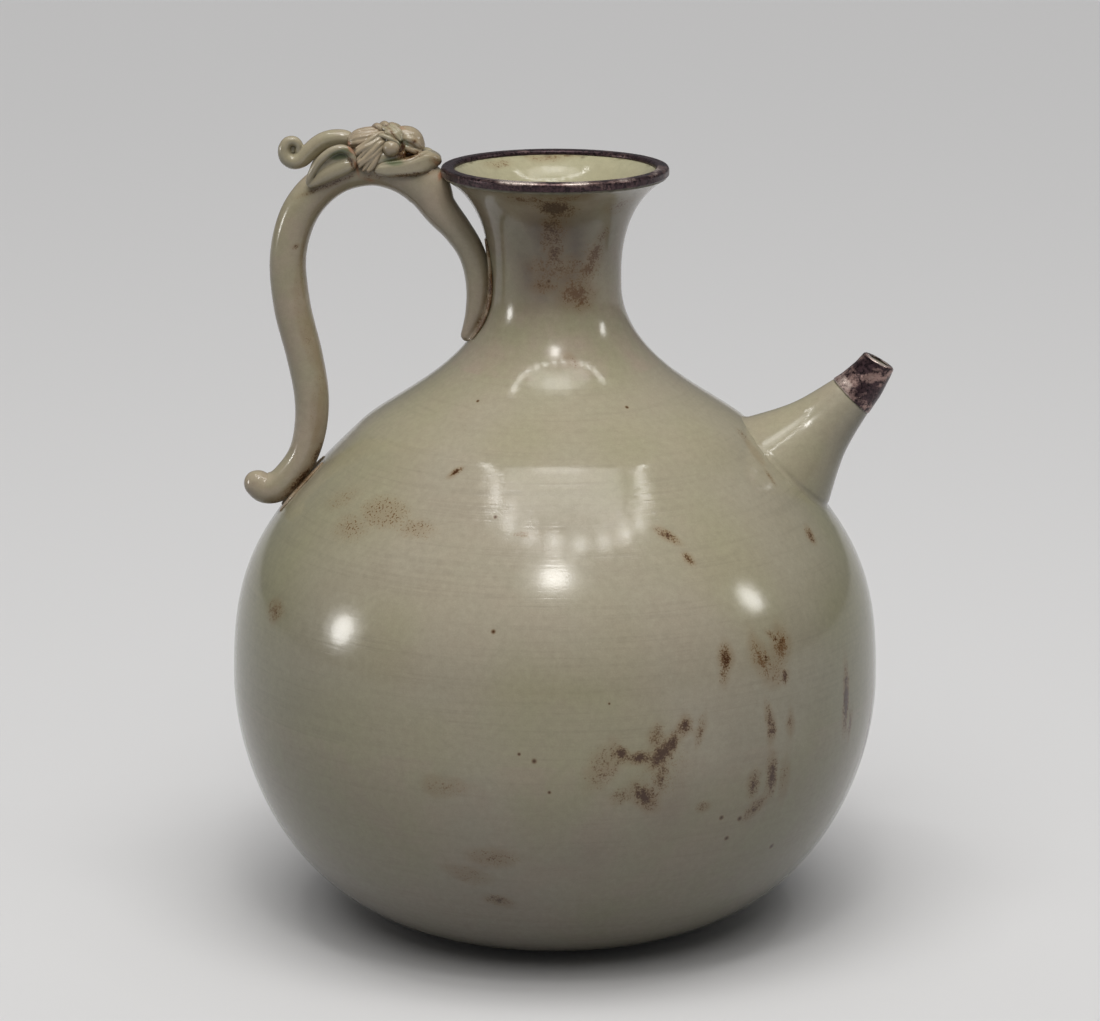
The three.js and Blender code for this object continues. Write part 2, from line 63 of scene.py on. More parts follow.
# lamps aimed at the pot, by azimuth from the camera's side and elevation: distance, size and watts
lampStands = {
    (-81, 13): {"leftLamp": (1550, (250, 330), 2.3), "leftGlow": (1560, (470, 560), 1.1)},
    (0, 57): {
        "frontLamp": (1850, (285, 240), 2.4), "frontGlow": (1860, (480, 430), 1.3),
        "frontHaze": (1870, (760, 700), 1.2),
    },
    (82.5, 27): {"rightLamp": (1600, (195, 310), 1.45), "rightGlow": (1610, (330, 450), 0.55)},
}
lampColour = (1.0, 0.985, 0.955)
# overhead hood: small lamps along its curved front edge, soft ones behind them up to its straight back edge
hood = {
    "centre": (115, -110, 1850), "reach": (775, 620), "sweep": 102,
    "beads": 12, "beadSize": (175, 78), "beadPower": 0.42,
    "softPlace": (90, -330, 1850), "softSize": (1150, 420), "softPower": 3.4,
    "corePlace": (40, -270, 1830), "coreSize": (460, 230), "corePower": 0.8,
}
# broad fills that leave no reflection of their own
skies = {
    "softSky": {"strength": 1.88, "angle": 60, "azimuth": -4, "elevation": 65},
    "backSky": {"strength": 0.45, "angle": 80, "azimuth": 180, "elevation": 30},
}
skyDistance = 3000


def stand(name, data):
    made = bpy.data.objects.new(name, data)
    bpy.context.collection.objects.link(made)
    return made


def lampPlace(distance, azimuth, elevation):
    around, above = math.radians(azimuth), math.radians(elevation)
    level = distance * math.cos(above)
    high = room["aimHeight"] + distance * math.sin(above)
    return Vector((level * math.sin(around), -level * math.cos(around), high))


def hang(name, data, place):
    data.color = lampColour
    holder = stand(name, data)
    holder.location = place * mm
    aim = Vector((0, 0, room["aimHeight"])) - place
    holder.rotation_euler = aim.to_track_quat("-Z", "Y").to_euler()
    return holder


def areaLamp(name, size, power):
    data = bpy.data.lights.new(name, "AREA")
    data.shape = "ELLIPSE"
    data.size, data.size_y = (value * mm for value in size)
    data.energy = power
    return data


def makeCamera():
    data = bpy.data.cameras.new("camera")
    data.sensor_width = room["sensor"]
    data.lens = room["lens"]
    data.clip_end = room["farthest"] * mm
    camera = stand("camera", data)
    camera.location = Vector(room["cameraPlace"]) * mm
    camera.rotation_euler = (math.radians(room["cameraTilt"]), 0, 0)
    bpy.context.scene.camera = camera


def makeLamps():
    for (azimuth, elevation), rows in lampStands.items():
        for name, (distance, size, power) in rows.items():
            lamp = hang(name, areaLamp(name, size, power), lampPlace(distance, azimuth, elevation))
            # the other lamps only show as reflections
            lamp.visible_diffuse = name == "frontLamp"
    for n in range(hood["beads"]):
        turn = math.radians(hood["sweep"]) * (2 * n / (hood["beads"] - 1) - 1)
        across, forward = hood["reach"]
        place = Vector(hood["centre"]) + Vector((math.sin(turn) * across, -math.cos(turn) * forward, 0))
        hang("bead%02d" % n, areaLamp("bead", hood["beadSize"], hood["beadPower"]), place)
    for label in ("soft", "core"):
        data = areaLamp(label, hood[label + "Size"], hood[label + "Power"])
        data.shape = "RECTANGLE"
        holder = hang(label + "Lamp", data, Vector(hood[label + "Place"]))
        holder.rotation_euler = (0, 0, 0)
    for name, sky in skies.items():
        data = bpy.data.lights.new(name, "SUN")
        data.energy = sky["strength"]
        data.angle = math.radians(sky["angle"])
        place = lampPlace(skyDistance, sky["azimuth"], sky["elevation"])
        hang(name, data, place).visible_glossy = False


makeCamera()
makeLamps()
print("camera and lamps stand")


# Nodes: one call makes a node, sets it up and wires its inputs
def put(tree, kind, inputs=None, **settings):
    made = tree.nodes.new(kind)
    for name, value in settings.items():
        setattr(made, name, value)
    feed(tree, made, inputs or {})
    return made


def feed(tree, node, inputs):
    for key, value in inputs.items():
        plug = node.inputs[key]
        if isinstance(value, Wire):
            value = value.socket
        if isinstance(value, bpy.types.NodeSocket):
            tree.links.new(value, plug)
        else:
            plug.default_value = value


class Wire:  # a socket that sums and products can be written with
    def __init__(self, tree, socket):
        self.tree = tree
        self.socket = socket

    def calc(self, operation, *others):
        return calculated(self.tree, operation, self, *others)

    def __add__(self, other):
        return self.calc("ADD", other)

    def __sub__(self, other):
        return self.calc("SUBTRACT", other)

    def __rsub__(self, other):
        return calculated(self.tree, "SUBTRACT", other, self)

    def __mul__(self, other):
        return self.calc("MULTIPLY", other)

    def __truediv__(self, other):
        return self.calc("DIVIDE", other)

    def __rtruediv__(self, other):
        return calculated(self.tree, "DIVIDE", other, self)

    def clipped(self):
        return self.calc("MAXIMUM", 0.0).calc("MINIMUM", 1.0)

    def over(self, low, high):  # 0 below low, 1 above high, eased between
        node = put(self.tree, "ShaderNodeMapRange", {0: self, 1: low, 2: high, 3: 0.0, 4: 1.0},
                   interpolation_type="SMOOTHSTEP", clamp=True)
        return Wire(self.tree, node.outputs[0])

    def scaled(self, low, high, least, most):
        node = put(self.tree, "ShaderNodeMapRange", {0: self, 1: low, 2: high, 3: least, 4: most}, clamp=True)
        return Wire(self.tree, node.outputs[0])


def calculated(tree, operation, *values):
    return Wire(tree, put(tree, "ShaderNodeMath", dict(enumerate(values)), operation=operation).outputs[0])


def newTree(name, kind, inputs, outputs):
    tree = bpy.data.node_groups.new(name, kind)
    for label, socketType, value in inputs:
        plug = tree.interface.new_socket(label, in_out="INPUT", socket_type=socketType)
        if value is not None:
            plug.default_value = value
    for label, socketType in outputs:
        tree.interface.new_socket(label, in_out="OUTPUT", socket_type=socketType)
    source = tree.nodes.new("NodeGroupInput")
    sink = tree.nodes.new("NodeGroupOutput")
    plugs = {plug.name: Wire(tree, plug) for plug in source.outputs if plug.name}
    return tree, plugs, sink


# Ends of the geometry trees: a grid of points to bend, and a plain mesh with its material
def gridCells(tree, rows, columns):
    grid = put(tree, "GeometryNodeMeshGrid", {2: rows, 3: columns})
    index = Wire(tree, put(tree, "GeometryNodeInputIndex").outputs[0])
    row = ((index + 0.5) / columns).calc("FLOOR")
    return grid.outputs[0], row, index - row * columns


def finishTree(tree, sink, form, finish, mergeReach=2e-6):
    merged = put(tree, "GeometryNodeMergeByDistance", {0: form, "Distance": mergeReach})
    plain = put(tree, "GeometryNodeRealizeInstances", {0: merged.outputs[0]})
    finished = put(tree, "GeometryNodeSetMaterial", {0: plain.outputs[0], "Material": finish})
    feed(tree, sink, {0: finished.outputs[0]})
    return tree


# Geometry tree: a profile turned on the wheel, with the slight waver of a hand-thrown wall
def makeThrownTree():
    tree, plugs, sink = newTree("thrownForm", "GeometryNodeTree", [
        ("Profile", "NodeSocketGeometry", None),
        ("Facets", "NodeSocketInt", 240),
        ("Waver", "NodeSocketFloat", 0.0),
        ("Waver Length", "NodeSocketFloat", 0.035),
        ("Seed", "NodeSocketInt", 3),
        ("Finish", "NodeSocketMaterial", None),
    ], [("Form", "NodeSocketGeometry")])
    count = put(tree, "GeometryNodeAttributeDomainSize", {0: plugs["Profile"]}, component="MESH")
    grid, row, column = gridCells(tree, count.outputs[0], plugs["Facets"] + 1)
    place = put(tree, "GeometryNodeInputPosition")
    sample = put(tree, "GeometryNodeSampleIndex", {
        0: plugs["Profile"], "Value": place.outputs[0], "Index": row,
    }, data_type="FLOAT_VECTOR", domain="POINT")
    spot = put(tree, "ShaderNodeSeparateXYZ", {0: sample.outputs[0]})
    radius = Wire(tree, spot.outputs[0])
    angle = column / plugs["Facets"] * math.tau
    cosine, sine = angle.calc("COSINE"), angle.calc("SINE")

    def turned(reach):
        parts = {0: reach * cosine, 1: reach * sine, 2: spot.outputs[2]}
        return put(tree, "ShaderNodeCombineXYZ", parts).outputs[0]

    waver = put(tree, "ShaderNodeTexNoise", {
        "Vector": turned(radius), "W": plugs["Seed"], "Detail": 0.0,
        "Scale": plugs["Waver Length"].calc("POWER", -1.0),
    }, noise_dimensions="4D")
    # towards the axis only, and less within 20 mm of it
    push = (Wire(tree, waver.outputs[0]) - 1) * 2 * plugs["Waver"] * radius.over(0.0, 0.02)
    moved = put(tree, "GeometryNodeSetPosition", {0: grid, "Position": turned(radius + push)})
    kept = put(tree, "GeometryNodeStoreNamedAttribute", {
        0: moved.outputs[0], "Name": "row", "Value": row,
    }, data_type="FLOAT", domain="POINT")
    return finishTree(tree, sink, kept.outputs[0], plugs["Finish"])


# Geometry tree: a coil of clay rolled along a path, oval or squarer in section, with rounded ends
def makeCoilTree():
    tree, plugs, sink = newTree("rolledCoil", "GeometryNodeTree", [
        ("Path", "NodeSocketGeometry", None),
        ("Sides", "NodeSocketInt", 24),
        ("Rings", "NodeSocketInt", 80),
        ("Cap Rings", "NodeSocketInt", 7),
        ("Squareness", "NodeSocketFloat", 2.0),
        ("Finish", "NodeSocketMaterial", None),
    ], [("Coil", "NodeSocketGeometry")])
    curve = put(tree, "GeometryNodeMeshToCurve", {0: plugs["Path"]}).outputs[0]
    length = Wire(tree, put(tree, "GeometryNodeCurveLength", {0: curve}).outputs[0])
    grid, row, column = gridCells(tree, plugs["Rings"], plugs["Sides"] + 1)

    def stored(name):
        return put(tree, "GeometryNodeInputNamedAttribute", {"Name": name}, data_type="FLOAT").outputs[0]

    def sampled(factor, numbers):
        return put(tree, "GeometryNodeSampleCurve", {"Curves": curve, "Factor": factor, "Value": numbers},
                   mode="FACTOR", data_type="FLOAT", use_all_curves=True).outputs

    thickness = stored("halfThick")
    startCap = Wire(tree, sampled(0.0, thickness)["Value"])
    endCap = Wire(tree, sampled(1.0, thickness)["Value"])
    last = plugs["Rings"] - 1
    caps = plugs["Cap Rings"]
    startTurn = (row / caps).calc("MINIMUM", 1.0) * (math.pi / 2)
    endTurn = ((last - row) / caps).calc("MINIMUM", 1.0) * (math.pi / 2)
    full = startTurn.calc("SINE") * endTurn.calc("SINE")
    middle = ((row - caps) / (last - caps * 2)).clipped() * (length - startCap - endCap)
    startRun = (1 - startTurn.calc("COSINE")) * startCap
    endRun = (1 - endTurn.calc("COSINE")) * endCap
    share = (startRun + middle - endRun + endCap) / length
    sample = sampled(share, thickness)
    centre, along = sample["Position"], sample["Tangent"]
    wide = Wire(tree, sampled(share, stored("halfWide"))["Value"])

    def vector(operation, inputs):
        return put(tree, "ShaderNodeVectorMath", inputs, operation=operation).outputs

    def arm(direction, reach):
        return vector("SCALE", {0: direction, "Scale": reach})[0]

    across = (0.0, 1.0, 0.0)
    slip = vector("DOT_PRODUCT", {0: along, 1: across})["Value"]
    side = vector("NORMALIZE", {0: vector("SUBTRACT", {0: across, 1: arm(along, slip)})[0]})[0]
    up = vector("CROSS_PRODUCT", {0: side, 1: along})[0]
    angle = column / plugs["Sides"] * math.tau

    def bulge(value):
        return value.calc("SIGN") * value.calc("ABSOLUTE").calc("POWER", 2 / plugs["Squareness"])

    upArm = arm(up, bulge(angle.calc("COSINE")) * Wire(tree, sample["Value"]) * full)
    sideArm = arm(side, bulge(angle.calc("SINE")) * wide * full)
    spot = vector("ADD", {0: vector("ADD", {0: centre, 1: upArm})[0], 1: sideArm})[0]
    moved = put(tree, "GeometryNodeSetPosition", {0: grid, "Position": spot})
    kept = put(tree, "GeometryNodeStoreNamedAttribute", {
        0: moved.outputs[0], "Name": "core", "Value": centre,
    }, data_type="FLOAT_VECTOR", domain="POINT")
    return finishTree(tree, sink, kept.outputs[0], plugs["Finish"])


thrownTree = makeThrownTree()
coilTree = makeCoilTree()


def runTree(tree, points, values, fields=None):
    # a polyline through the points, run through a geometry tree and brought back as plain arrays
    mesh = bpy.data.meshes.new("path")
    mesh.from_pydata([tuple(point) for point in points], [(n, n + 1) for n in range(len(points) - 1)], [])
    for name, numbers in (fields or {}).items():
        mesh.attributes.new(name, "FLOAT", "POINT").data.foreach_set("value", np.asarray(numbers, np.float32))
    holder = stand("path", mesh)
    modifier = holder.modifiers.new("tree", "NODES")
    modifier.node_group = tree
    for plug in tree.interface.items_tree:
        if plug.item_type == "SOCKET" and plug.in_out == "INPUT" and plug.name in values:
            modifier[plug.identifier] = values[plug.name]
    graph = bpy.context.evaluated_depsgraph_get()
    made = bpy.data.meshes.new_from_object(holder.evaluated_get(graph))
    bpy.data.objects.remove(holder)
    bpy.data.meshes.remove(mesh)
    return made


def pull(rows, name, size, kind=np.float32):
    flat = np.empty(len(rows) * size, kind)
    rows.foreach_get(name, flat)
    return flat.reshape(-1, size)


def readPoints(mesh):
    return pull(mesh.vertices, "co", 3).astype(float)


def writePoints(mesh, points):
    mesh.vertices.foreach_set("co", np.asarray(points, np.float32).ravel())
    mesh.update()


def readField(mesh, name, size=1):
    numbers = pull(mesh.attributes[name].data, "vector" if size == 3 else "value", size).astype(float)
    return numbers if size > 1 else numbers[:, 0]


def writeField(mesh, name, numbers):
    layer = mesh.attributes.get(name) or mesh.attributes.new(name, "FLOAT", "POINT")
    layer.data.foreach_set("value", np.asarray(numbers, np.float32))


def turnOutward(mesh):
    points = readPoints(mesh)
    mesh.calc_loop_triangles()
    a, b, c = points[pull(mesh.loop_triangles, "vertices", 3, np.int32)].transpose(1, 0, 2)
    if (np.cross(b, c) * a).sum() < 0:
        mesh.flip_normals()


def finishMesh(mesh, sharpAngle=None):
    turnOutward(mesh)
    mesh.shade_smooth()
    if sharpAngle:
        mesh.set_sharp_from_angle(angle=math.radians(sharpAngle))
    return mesh


# The pot's outline, the same curves that the solids follow
vessel = {
    "footRadius": 47, "footRingWidth": 9, "footRecess": 1.5, "footBevel": 1, "floorThickness": 5.5,
    "bellyRadius": 126, "bellyHeight": 96.5, "shoulderRadius": 76.9, "shoulderRise": 98.5,
    "neckRadius": 25.6, "neckRise": 56.5, "lipRadius": 42.8, "lipRise": 41.5,
    "lipThickness": 3.2, "lipCollar": 3.3, "bodyWall": 5.5, "neckWall": 4.2, "neckSeamShare": 0.47,
    "footSlope": 5, "shoulderSlope": 44, "lipSlope": 31,
    "outerStep": 1.25, "innerStep": 2.6, "facets": 360, "waver": 0.11, "waverLength": 38, "seed": 5,
    "baseRise": (0.6, 0.5), "baseMargin": 3, "cove": 1.1, "coveSpot": (0.2, 0.6), "ringChamfer": (0.5, 0.25),
    "coveArc": (100, 10), "footArc": (270, 340), "footEase": 0.6, "baseStep": 3, "floorStep": 4,
    "lipBevel": 0.5, "lipInset": 1.3, "finerLip": 1.4, "liningDepth": 2, "sharpAngle": 40,
}
shoulderHeight = vessel["bellyHeight"] + vessel["shoulderRise"]
neckHeight = shoulderHeight + vessel["neckRise"]
lipBase = neckHeight + vessel["lipRise"]
lipTop = lipBase + vessel["lipCollar"]
neckSeam = shoulderHeight + vessel["neckSeamShare"] * vessel["neckRise"]
seatGap = 0.3
bandMetal = 0.6
rimRadius = vessel["lipRadius"] + seatGap + bandMetal
rimHeight = lipTop + seatGap + bandMetal


def stretch(start, startAngle, end, endAngle, shares, steps=400):
    start, end = np.array(start, float), np.array(end, float)
    chord = np.linalg.norm(end - start)
    leave = start + shares[0] * chord * np.array([math.cos(startAngle), math.sin(startAngle)])
    arrive = end - shares[1] * chord * np.array([math.cos(endAngle), math.sin(endAngle)])
    t = np.linspace(0, 1, steps + 1)[:, None]
    return (1 - t) ** 3 * start + 3 * (1 - t) ** 2 * t * leave + 3 * (1 - t) * t * t * arrive + t ** 3 * end


def evenly(points, step):
    lengths = np.r_[0, np.cumsum(np.linalg.norm(np.diff(points, axis=0), axis=1))]
    places = np.linspace(0, lengths[-1], max(2, round(lengths[-1] / step) + 1))
    return np.stack([np.interp(places, lengths, points[:, n]) for n in range(points.shape[1])], 1)


def vesselOutline():
    upright = math.pi / 2
    turn = math.pi - math.radians(vessel["shoulderSlope"])
    foot = (vessel["footRadius"], 0)
    belly = (vessel["bellyRadius"], vessel["bellyHeight"])
    shoulder = (vessel["shoulderRadius"], shoulderHeight)
    waist = (vessel["neckRadius"], neckHeight)
    lip = (vessel["lipRadius"], lipBase)
    bowl = stretch(foot, math.radians(vessel["footSlope"]), belly, upright, (0.462, 0.281))
    upper = stretch(belly, upright, shoulder, turn, (0.388, 0.524))
    throat = stretch(shoulder, turn, waist, upright, (0.194, 0.394))
    flare = stretch(waist, upright, lip, math.radians(vessel["lipSlope"]), (0.12, 0.5))
    return np.vstack([bowl, upper[1:], throat[1:], flare[1:]])


outline = vesselOutline()
along = np.gradient(outline, axis=0)
along /= np.linalg.norm(along, axis=1)[:, None]
outlineNormal = np.stack([along[:, 1], -along[:, 0]], 1)
# the wall thins from the shoulder to the waist
thinning = np.clip((outline[:, 1] - shoulderHeight) / (neckHeight - shoulderHeight), 0, 1)
thinning = thinning ** 2 * (3 - 2 * thinning)
wall = vessel["bodyWall"] + (vessel["neckWall"] - vessel["bodyWall"]) * thinning
innerOutline = outline - outlineNormal * wall[:, None]


def radiusAt(height, line=outline):
    return np.interp(height, line[:, 1], line[:, 0])


def between(line, low, high, step):
    inside = line[(line[:, 1] > low) & (line[:, 1] < high)]
    return evenly(np.vstack([[[radiusAt(low, line), low]], inside, [[radiusAt(high, line), high]]]), step)


def potField(points, chunk=4000):
    # signed distance of each point from the pot's outer face, and the direction out of it
    radius = np.hypot(points[:, 0], points[:, 1])
    line = outline[::4]  # every fourth point is fine enough
    flat = np.stack([radius, points[:, 2]], 1)
    start, step = line[:-1], np.diff(line, axis=0)
    distance = np.zeros(len(flat))
    normal = np.zeros((len(flat), 2))
    for begin in range(0, len(flat), chunk):
        part = flat[begin:begin + chunk, None, :]
        share = np.clip(((part - start) * step).sum(2) / (step ** 2).sum(1), 0, 1)
        away = part - (start + share[..., None] * step)
        gap = np.linalg.norm(away, axis=2)
        near = gap.argmin(1)
        rows = np.arange(len(near))
        out = np.stack([step[near, 1], -step[near, 0]], 1)
        out /= np.linalg.norm(out, axis=1)[:, None]
        distance[begin:begin + chunk] = gap[rows, near] * np.sign((away[rows, near] * out).sum(1))
        normal[begin:begin + chunk] = out
    ring = points[:, :2] / np.maximum(radius, 1e-6)[:, None]
    return distance, np.column_stack([ring * normal[:, :1], normal[:, 1]])


def alongPot(away, out):
    # the part of each arrow that runs along the pot's face: its direction and its length
    sideways = away - (away * out).sum(1)[:, None] * out
    size = np.linalg.norm(sideways, axis=1)
    return sideways / np.maximum(size, 1e-6)[:, None], size


def flared(distance, reach):
    # how far a luted root spreads, by its distance from the pot
    share = np.clip(distance / reach, 0, 1)
    return reach * (1 - np.sqrt(1 - (1 - share) ** 2))


def closed(*parts):
    line = np.vstack([np.atleast_2d(part) for part in parts])
    return np.vstack([line, line[:1]])


def throwForm(profile, piece):
    points = np.column_stack([profile[:, 0], np.zeros(len(profile)), profile[:, 1]]) * mm
    return runTree(thrownTree, points, {
        "Facets": piece["facets"], "Waver": piece["waver"] * mm,
        "Waver Length": piece["waverLength"] * mm, "Seed": piece["seed"],
    })


def rounded(corner, radius, fromAngle, toAngle, steps=6):
    angles = np.radians(np.linspace(fromAngle, toAngle, steps + 1))
    return np.array(corner) + radius * np.stack([np.cos(angles), np.sin(angles)], 1)


shown = {}  # name: (mesh, the nodes that it stands for, its slot)


def vesselForms():
    recess, width, bevel = vessel["footRecess"], vessel["footRingWidth"], vessel["footBevel"]
    foot, belly = vessel["footRadius"], vessel["bellyHeight"]
    floorHeight = recess + vessel["floorThickness"]
    outerStep, innerStep = vessel["outerStep"], vessel["innerStep"]
    middleRise, rimRise = vessel["baseRise"]
    inset, drop = vessel["coveSpot"]
    aside, above = vessel["ringChamfer"]
    ringEdge = foot - width + bevel
    baseEdge = foot - width - vessel["baseMargin"]
    lowerInner = between(innerOutline, floorHeight, belly, innerStep)[::-1]
    lower = np.vstack([
        evenly(np.array([[0, recess + middleRise], [baseEdge, recess + rimRise]]), vessel["baseStep"]),
        rounded((foot - width - inset, recess - drop), vessel["cove"], *vessel["coveArc"]),
        [[ringEdge, above], [ringEdge + aside, 0]],
        rounded((foot - bevel, bevel), bevel, *vessel["footArc"]),
        between(outline, bevel + vessel["footEase"], belly, outerStep),
        lowerInner,
        evenly(np.array([[lowerInner[-1][0], floorHeight], [0, floorHeight]]), vessel["floorStep"])[1:],
    ])
    upper = closed(
        between(outline, belly, neckSeam, outerStep),
        between(innerOutline, belly, neckSeam, innerStep)[::-1],
    )
    lipEdge, bead = vessel["lipRadius"], vessel["lipBevel"]
    lipInside = lipEdge - vessel["lipThickness"]
    neckInner = between(innerOutline, neckSeam, lipTop - vessel["lipInset"], innerStep / 2)[::-1]
    neck = closed(
        between(outline, neckSeam, lipBase, outerStep / vessel["finerLip"]),
        rounded((lipEdge - bead, lipTop - bead), bead, 0, 90),
        rounded((lipInside + bead, lipTop - bead), bead, 90, 180),
        neckInner[neckInner[:, 0] < lipInside],
    )
    profiles = {
        "bodyLower": (lower, "body_lower"), "bodyUpper": (upper, "body_upper"), "neckForm": (neck, "neck"),
    }
    for name, (profile, node) in profiles.items():
        mesh = finishMesh(throwForm(profile, vessel), vessel["sharpAngle"])
        shown[name] = (mesh, [node], "celadon_glaze")


# points this near a seam's height belong to it, if they are on the outer face and look sideways
seamMatch = {"tolerance": 0.01, "depth": 1, "keysPerRadian": 400, "leastLevel": 0.35}


def matchSeam(nameA, nameB, height):
    # the two pieces' rings share a place, so they get one normal and the glaze shows no line
    found, sums = [], {}
    for name in (nameA, nameB):
        mesh = shown[name][0]
        points = readPoints(mesh) / mm
        onSeam = (np.abs(points[:, 2] - height) < seamMatch["tolerance"]) & (
            np.hypot(points[:, 0], points[:, 1]) > radiusAt(height) - seamMatch["depth"])
        normals = pull(mesh.corner_normals, "vector", 3)
        corners = pull(mesh.loops, "vertex_index", 1, np.int32)[:, 0]
        facing = np.sign((normals[:, :2] * points[corners, :2]).sum(1))
        level = np.hypot(normals[:, 0], normals[:, 1]) * facing
        outside = onSeam[corners] & (level > seamMatch["leastLevel"])
        spots = points[corners[outside]]
        keys = np.round(np.arctan2(spots[:, 1], spots[:, 0]) * seamMatch["keysPerRadian"]).astype(int)
        for key, normal in zip(keys, normals[outside]):
            sums[key] = sums.get(key, 0) + normal / np.linalg.norm(normal)
        found.append((mesh, normals, outside, keys))
    for mesh, normals, outside, keys in found:
        normals[outside] = np.array([sums[key] / np.linalg.norm(sums[key]) for key in keys])
        mesh.normals_split_custom_set([tuple(normal) for normal in normals])


vesselForms()
print("pot thrown")


# Spout: a cone set on the shoulder, its root flared out where the glaze pools
spout = {
    "drop": 13.1, "slope": 46, "rootRadius": 23.2, "midRadius": 14.2, "seatRadius": 9.4, "tipRadius": 5.8,
    "length": 35, "wall": 4.3, "tipWall": 1.8, "sink": 4.6, "flare": 1.7, "step": 0.7, "facets": 144,
    "waver": 0.1, "waverLength": 16, "seed": 8, "seatShift": 0.01, "innerStep": 2, "sharpAngle": 50,
}
sleeve = {
    "length": 17.8, "metal": 0.5, "lipWidth": 1.9, "bevel": 1.1, "lipRoll": 0.25,
    "outerEase": (0.12, 0.15), "innerEase": (0.1, 0.2), "rootEase": 0.3, "wallStop": 0.7, "step": 0.7,
    "facets": 144, "waver": 0.34, "waverLength": 4.2, "seed": 12, "bevelSteps": 8, "innerStep": 3,
    "sharpAngle": 50,
}
bend = {"start": 37, "reach": 15.5, "lift": 2.0, "furthest": 1.2}
spoutRoot = np.array([radiusAt(shoulderHeight - spout["drop"]), 0, shoulderHeight - spout["drop"]])
spoutTurn = Matrix.Rotation(math.radians(90 - spout["slope"]), 4, "Y")
spoutPlace = Matrix.Translation(Vector(spoutRoot * mm)) @ spoutTurn
spoutAxis = np.array(spoutTurn.to_3x3() @ Vector((0, 0, 1)))


def splineLine(knots, steps=60):
    knots = np.array(knots, float)
    padded = np.vstack([knots[:1], knots, knots[-1:]])
    pieces = []
    for n in range(len(knots) - 1):
        a, b, c, d = padded[n:n + 4]
        t = np.linspace(0, 1, steps + 1)[:, None]
        leave, arrive = (c - a) / 2, (d - b) / 2
        pieces.append((2 * t ** 3 - 3 * t * t + 1) * b + (t ** 3 - 2 * t * t + t) * leave
                      + (-2 * t ** 3 + 3 * t * t) * c + (t ** 3 - t * t) * arrive)
    return np.vstack(pieces)


def bendUp(mesh):
    # the metal end and the clay inside it curve upwards, away from the spout's straight axis
    points = readPoints(mesh) / mm
    share = np.clip((points[:, 2] - bend["start"]) / bend["reach"], 0, bend["furthest"])
    slope = 2 * bend["lift"] * share / bend["reach"]
    lifted = points.copy()
    lifted[:, 0] -= bend["lift"] * share ** 2
    lifted[:, 2] += points[:, 0] * slope
    writePoints(mesh, lifted * mm)


def spoutForms():
    end = spout["length"] + sleeve["length"] - sleeve["metal"] - seatGap
    flare = splineLine([(spout["rootRadius"], 0), (spout["midRadius"], spout["length"] / 2),
                        (spout["seatRadius"], spout["length"])])
    outer = evenly(np.vstack([[[spout["rootRadius"], -spout["sink"]]], flare]), spout["step"])
    bore = flare.copy()
    bore[:, 0] -= spout["wall"]
    boreRoot = [[spout["rootRadius"] - spout["wall"], -spout["sink"]]]
    seat, seatStart = spout["seatRadius"] - sleeve["metal"], spout["length"] + spout["seatShift"]
    profile = closed(
        outer,
        [seat, spout["length"]],
        evenly(np.array([[seat, seatStart], [spout["tipRadius"], end]]), spout["innerStep"]),
        [spout["tipRadius"] - spout["tipWall"], end],
        evenly(np.vstack([bore[::-1], boreRoot]), spout["innerStep"]),
    )
    mesh = throwForm(profile, spout)
    bendUp(mesh)
    mesh.transform(spoutPlace)
    points = readPoints(mesh) / mm
    distance, out = potField(points)
    fromAxis = points - spoutRoot
    fromAxis -= (fromAxis @ spoutAxis)[:, None] * spoutAxis
    sideways = alongPot(fromAxis, out)[0]
    push = flared(distance, spout["flare"])
    push[readField(mesh, "row") >= len(outer)] = 0
    writePoints(mesh, (points + sideways * push[:, None]) * mm)
    shown["spoutCone"] = (finishMesh(mesh, spout["sharpAngle"]), ["spout"], "celadon_glaze")

    metal, bevel, roll = sleeve["metal"], sleeve["bevel"], sleeve["lipRoll"]
    low, high = spout["length"] + seatGap, end + seatGap
    seatIn, tip = seat + seatGap, spout["tipRadius"] + seatGap
    lipIn = tip - sleeve["lipWidth"]
    (inward, upward), (tuck, dip) = sleeve["outerEase"], sleeve["innerEase"]
    wallTop = [tip + metal, high - sleeve["wallStop"]]
    profile = closed(
        [seatIn, low],
        [seatIn + metal - inward, low],
        evenly(np.array([[seatIn + metal, low + upward], wallTop]), sleeve["step"]),
        rounded((tip + metal - bevel, high + metal - bevel), bevel, 0, 90, sleeve["bevelSteps"]),
        rounded((lipIn + roll, high + metal - roll), roll, 90, 270),
        [tip - tuck, high],
        evenly(np.array([[tip, high - dip], [seatIn, low + sleeve["rootEase"]]]), sleeve["innerStep"]),
    )
    mesh = throwForm(profile, sleeve)
    bendUp(mesh)
    mesh.transform(spoutPlace)
    shown["spoutSleeve"] = (finishMesh(mesh, sleeve["sharpAngle"]), ["spout_sleeve"], "tarnished_metal")


# Metal band folded over the lip
band = {
    "drop": 3.4, "innerDrop": 1.7, "bevel": 1.3, "edge": 0.4, "overrun": 1.1, "facets": 360,
    "waver": 0.14, "waverLength": 11, "seed": 21, "edgeSteps": 4, "bevelSteps": 10,
    "wallStart": 0.1, "wallStep": 0.6, "topStep": 0.8, "sharpAngle": 45,
}


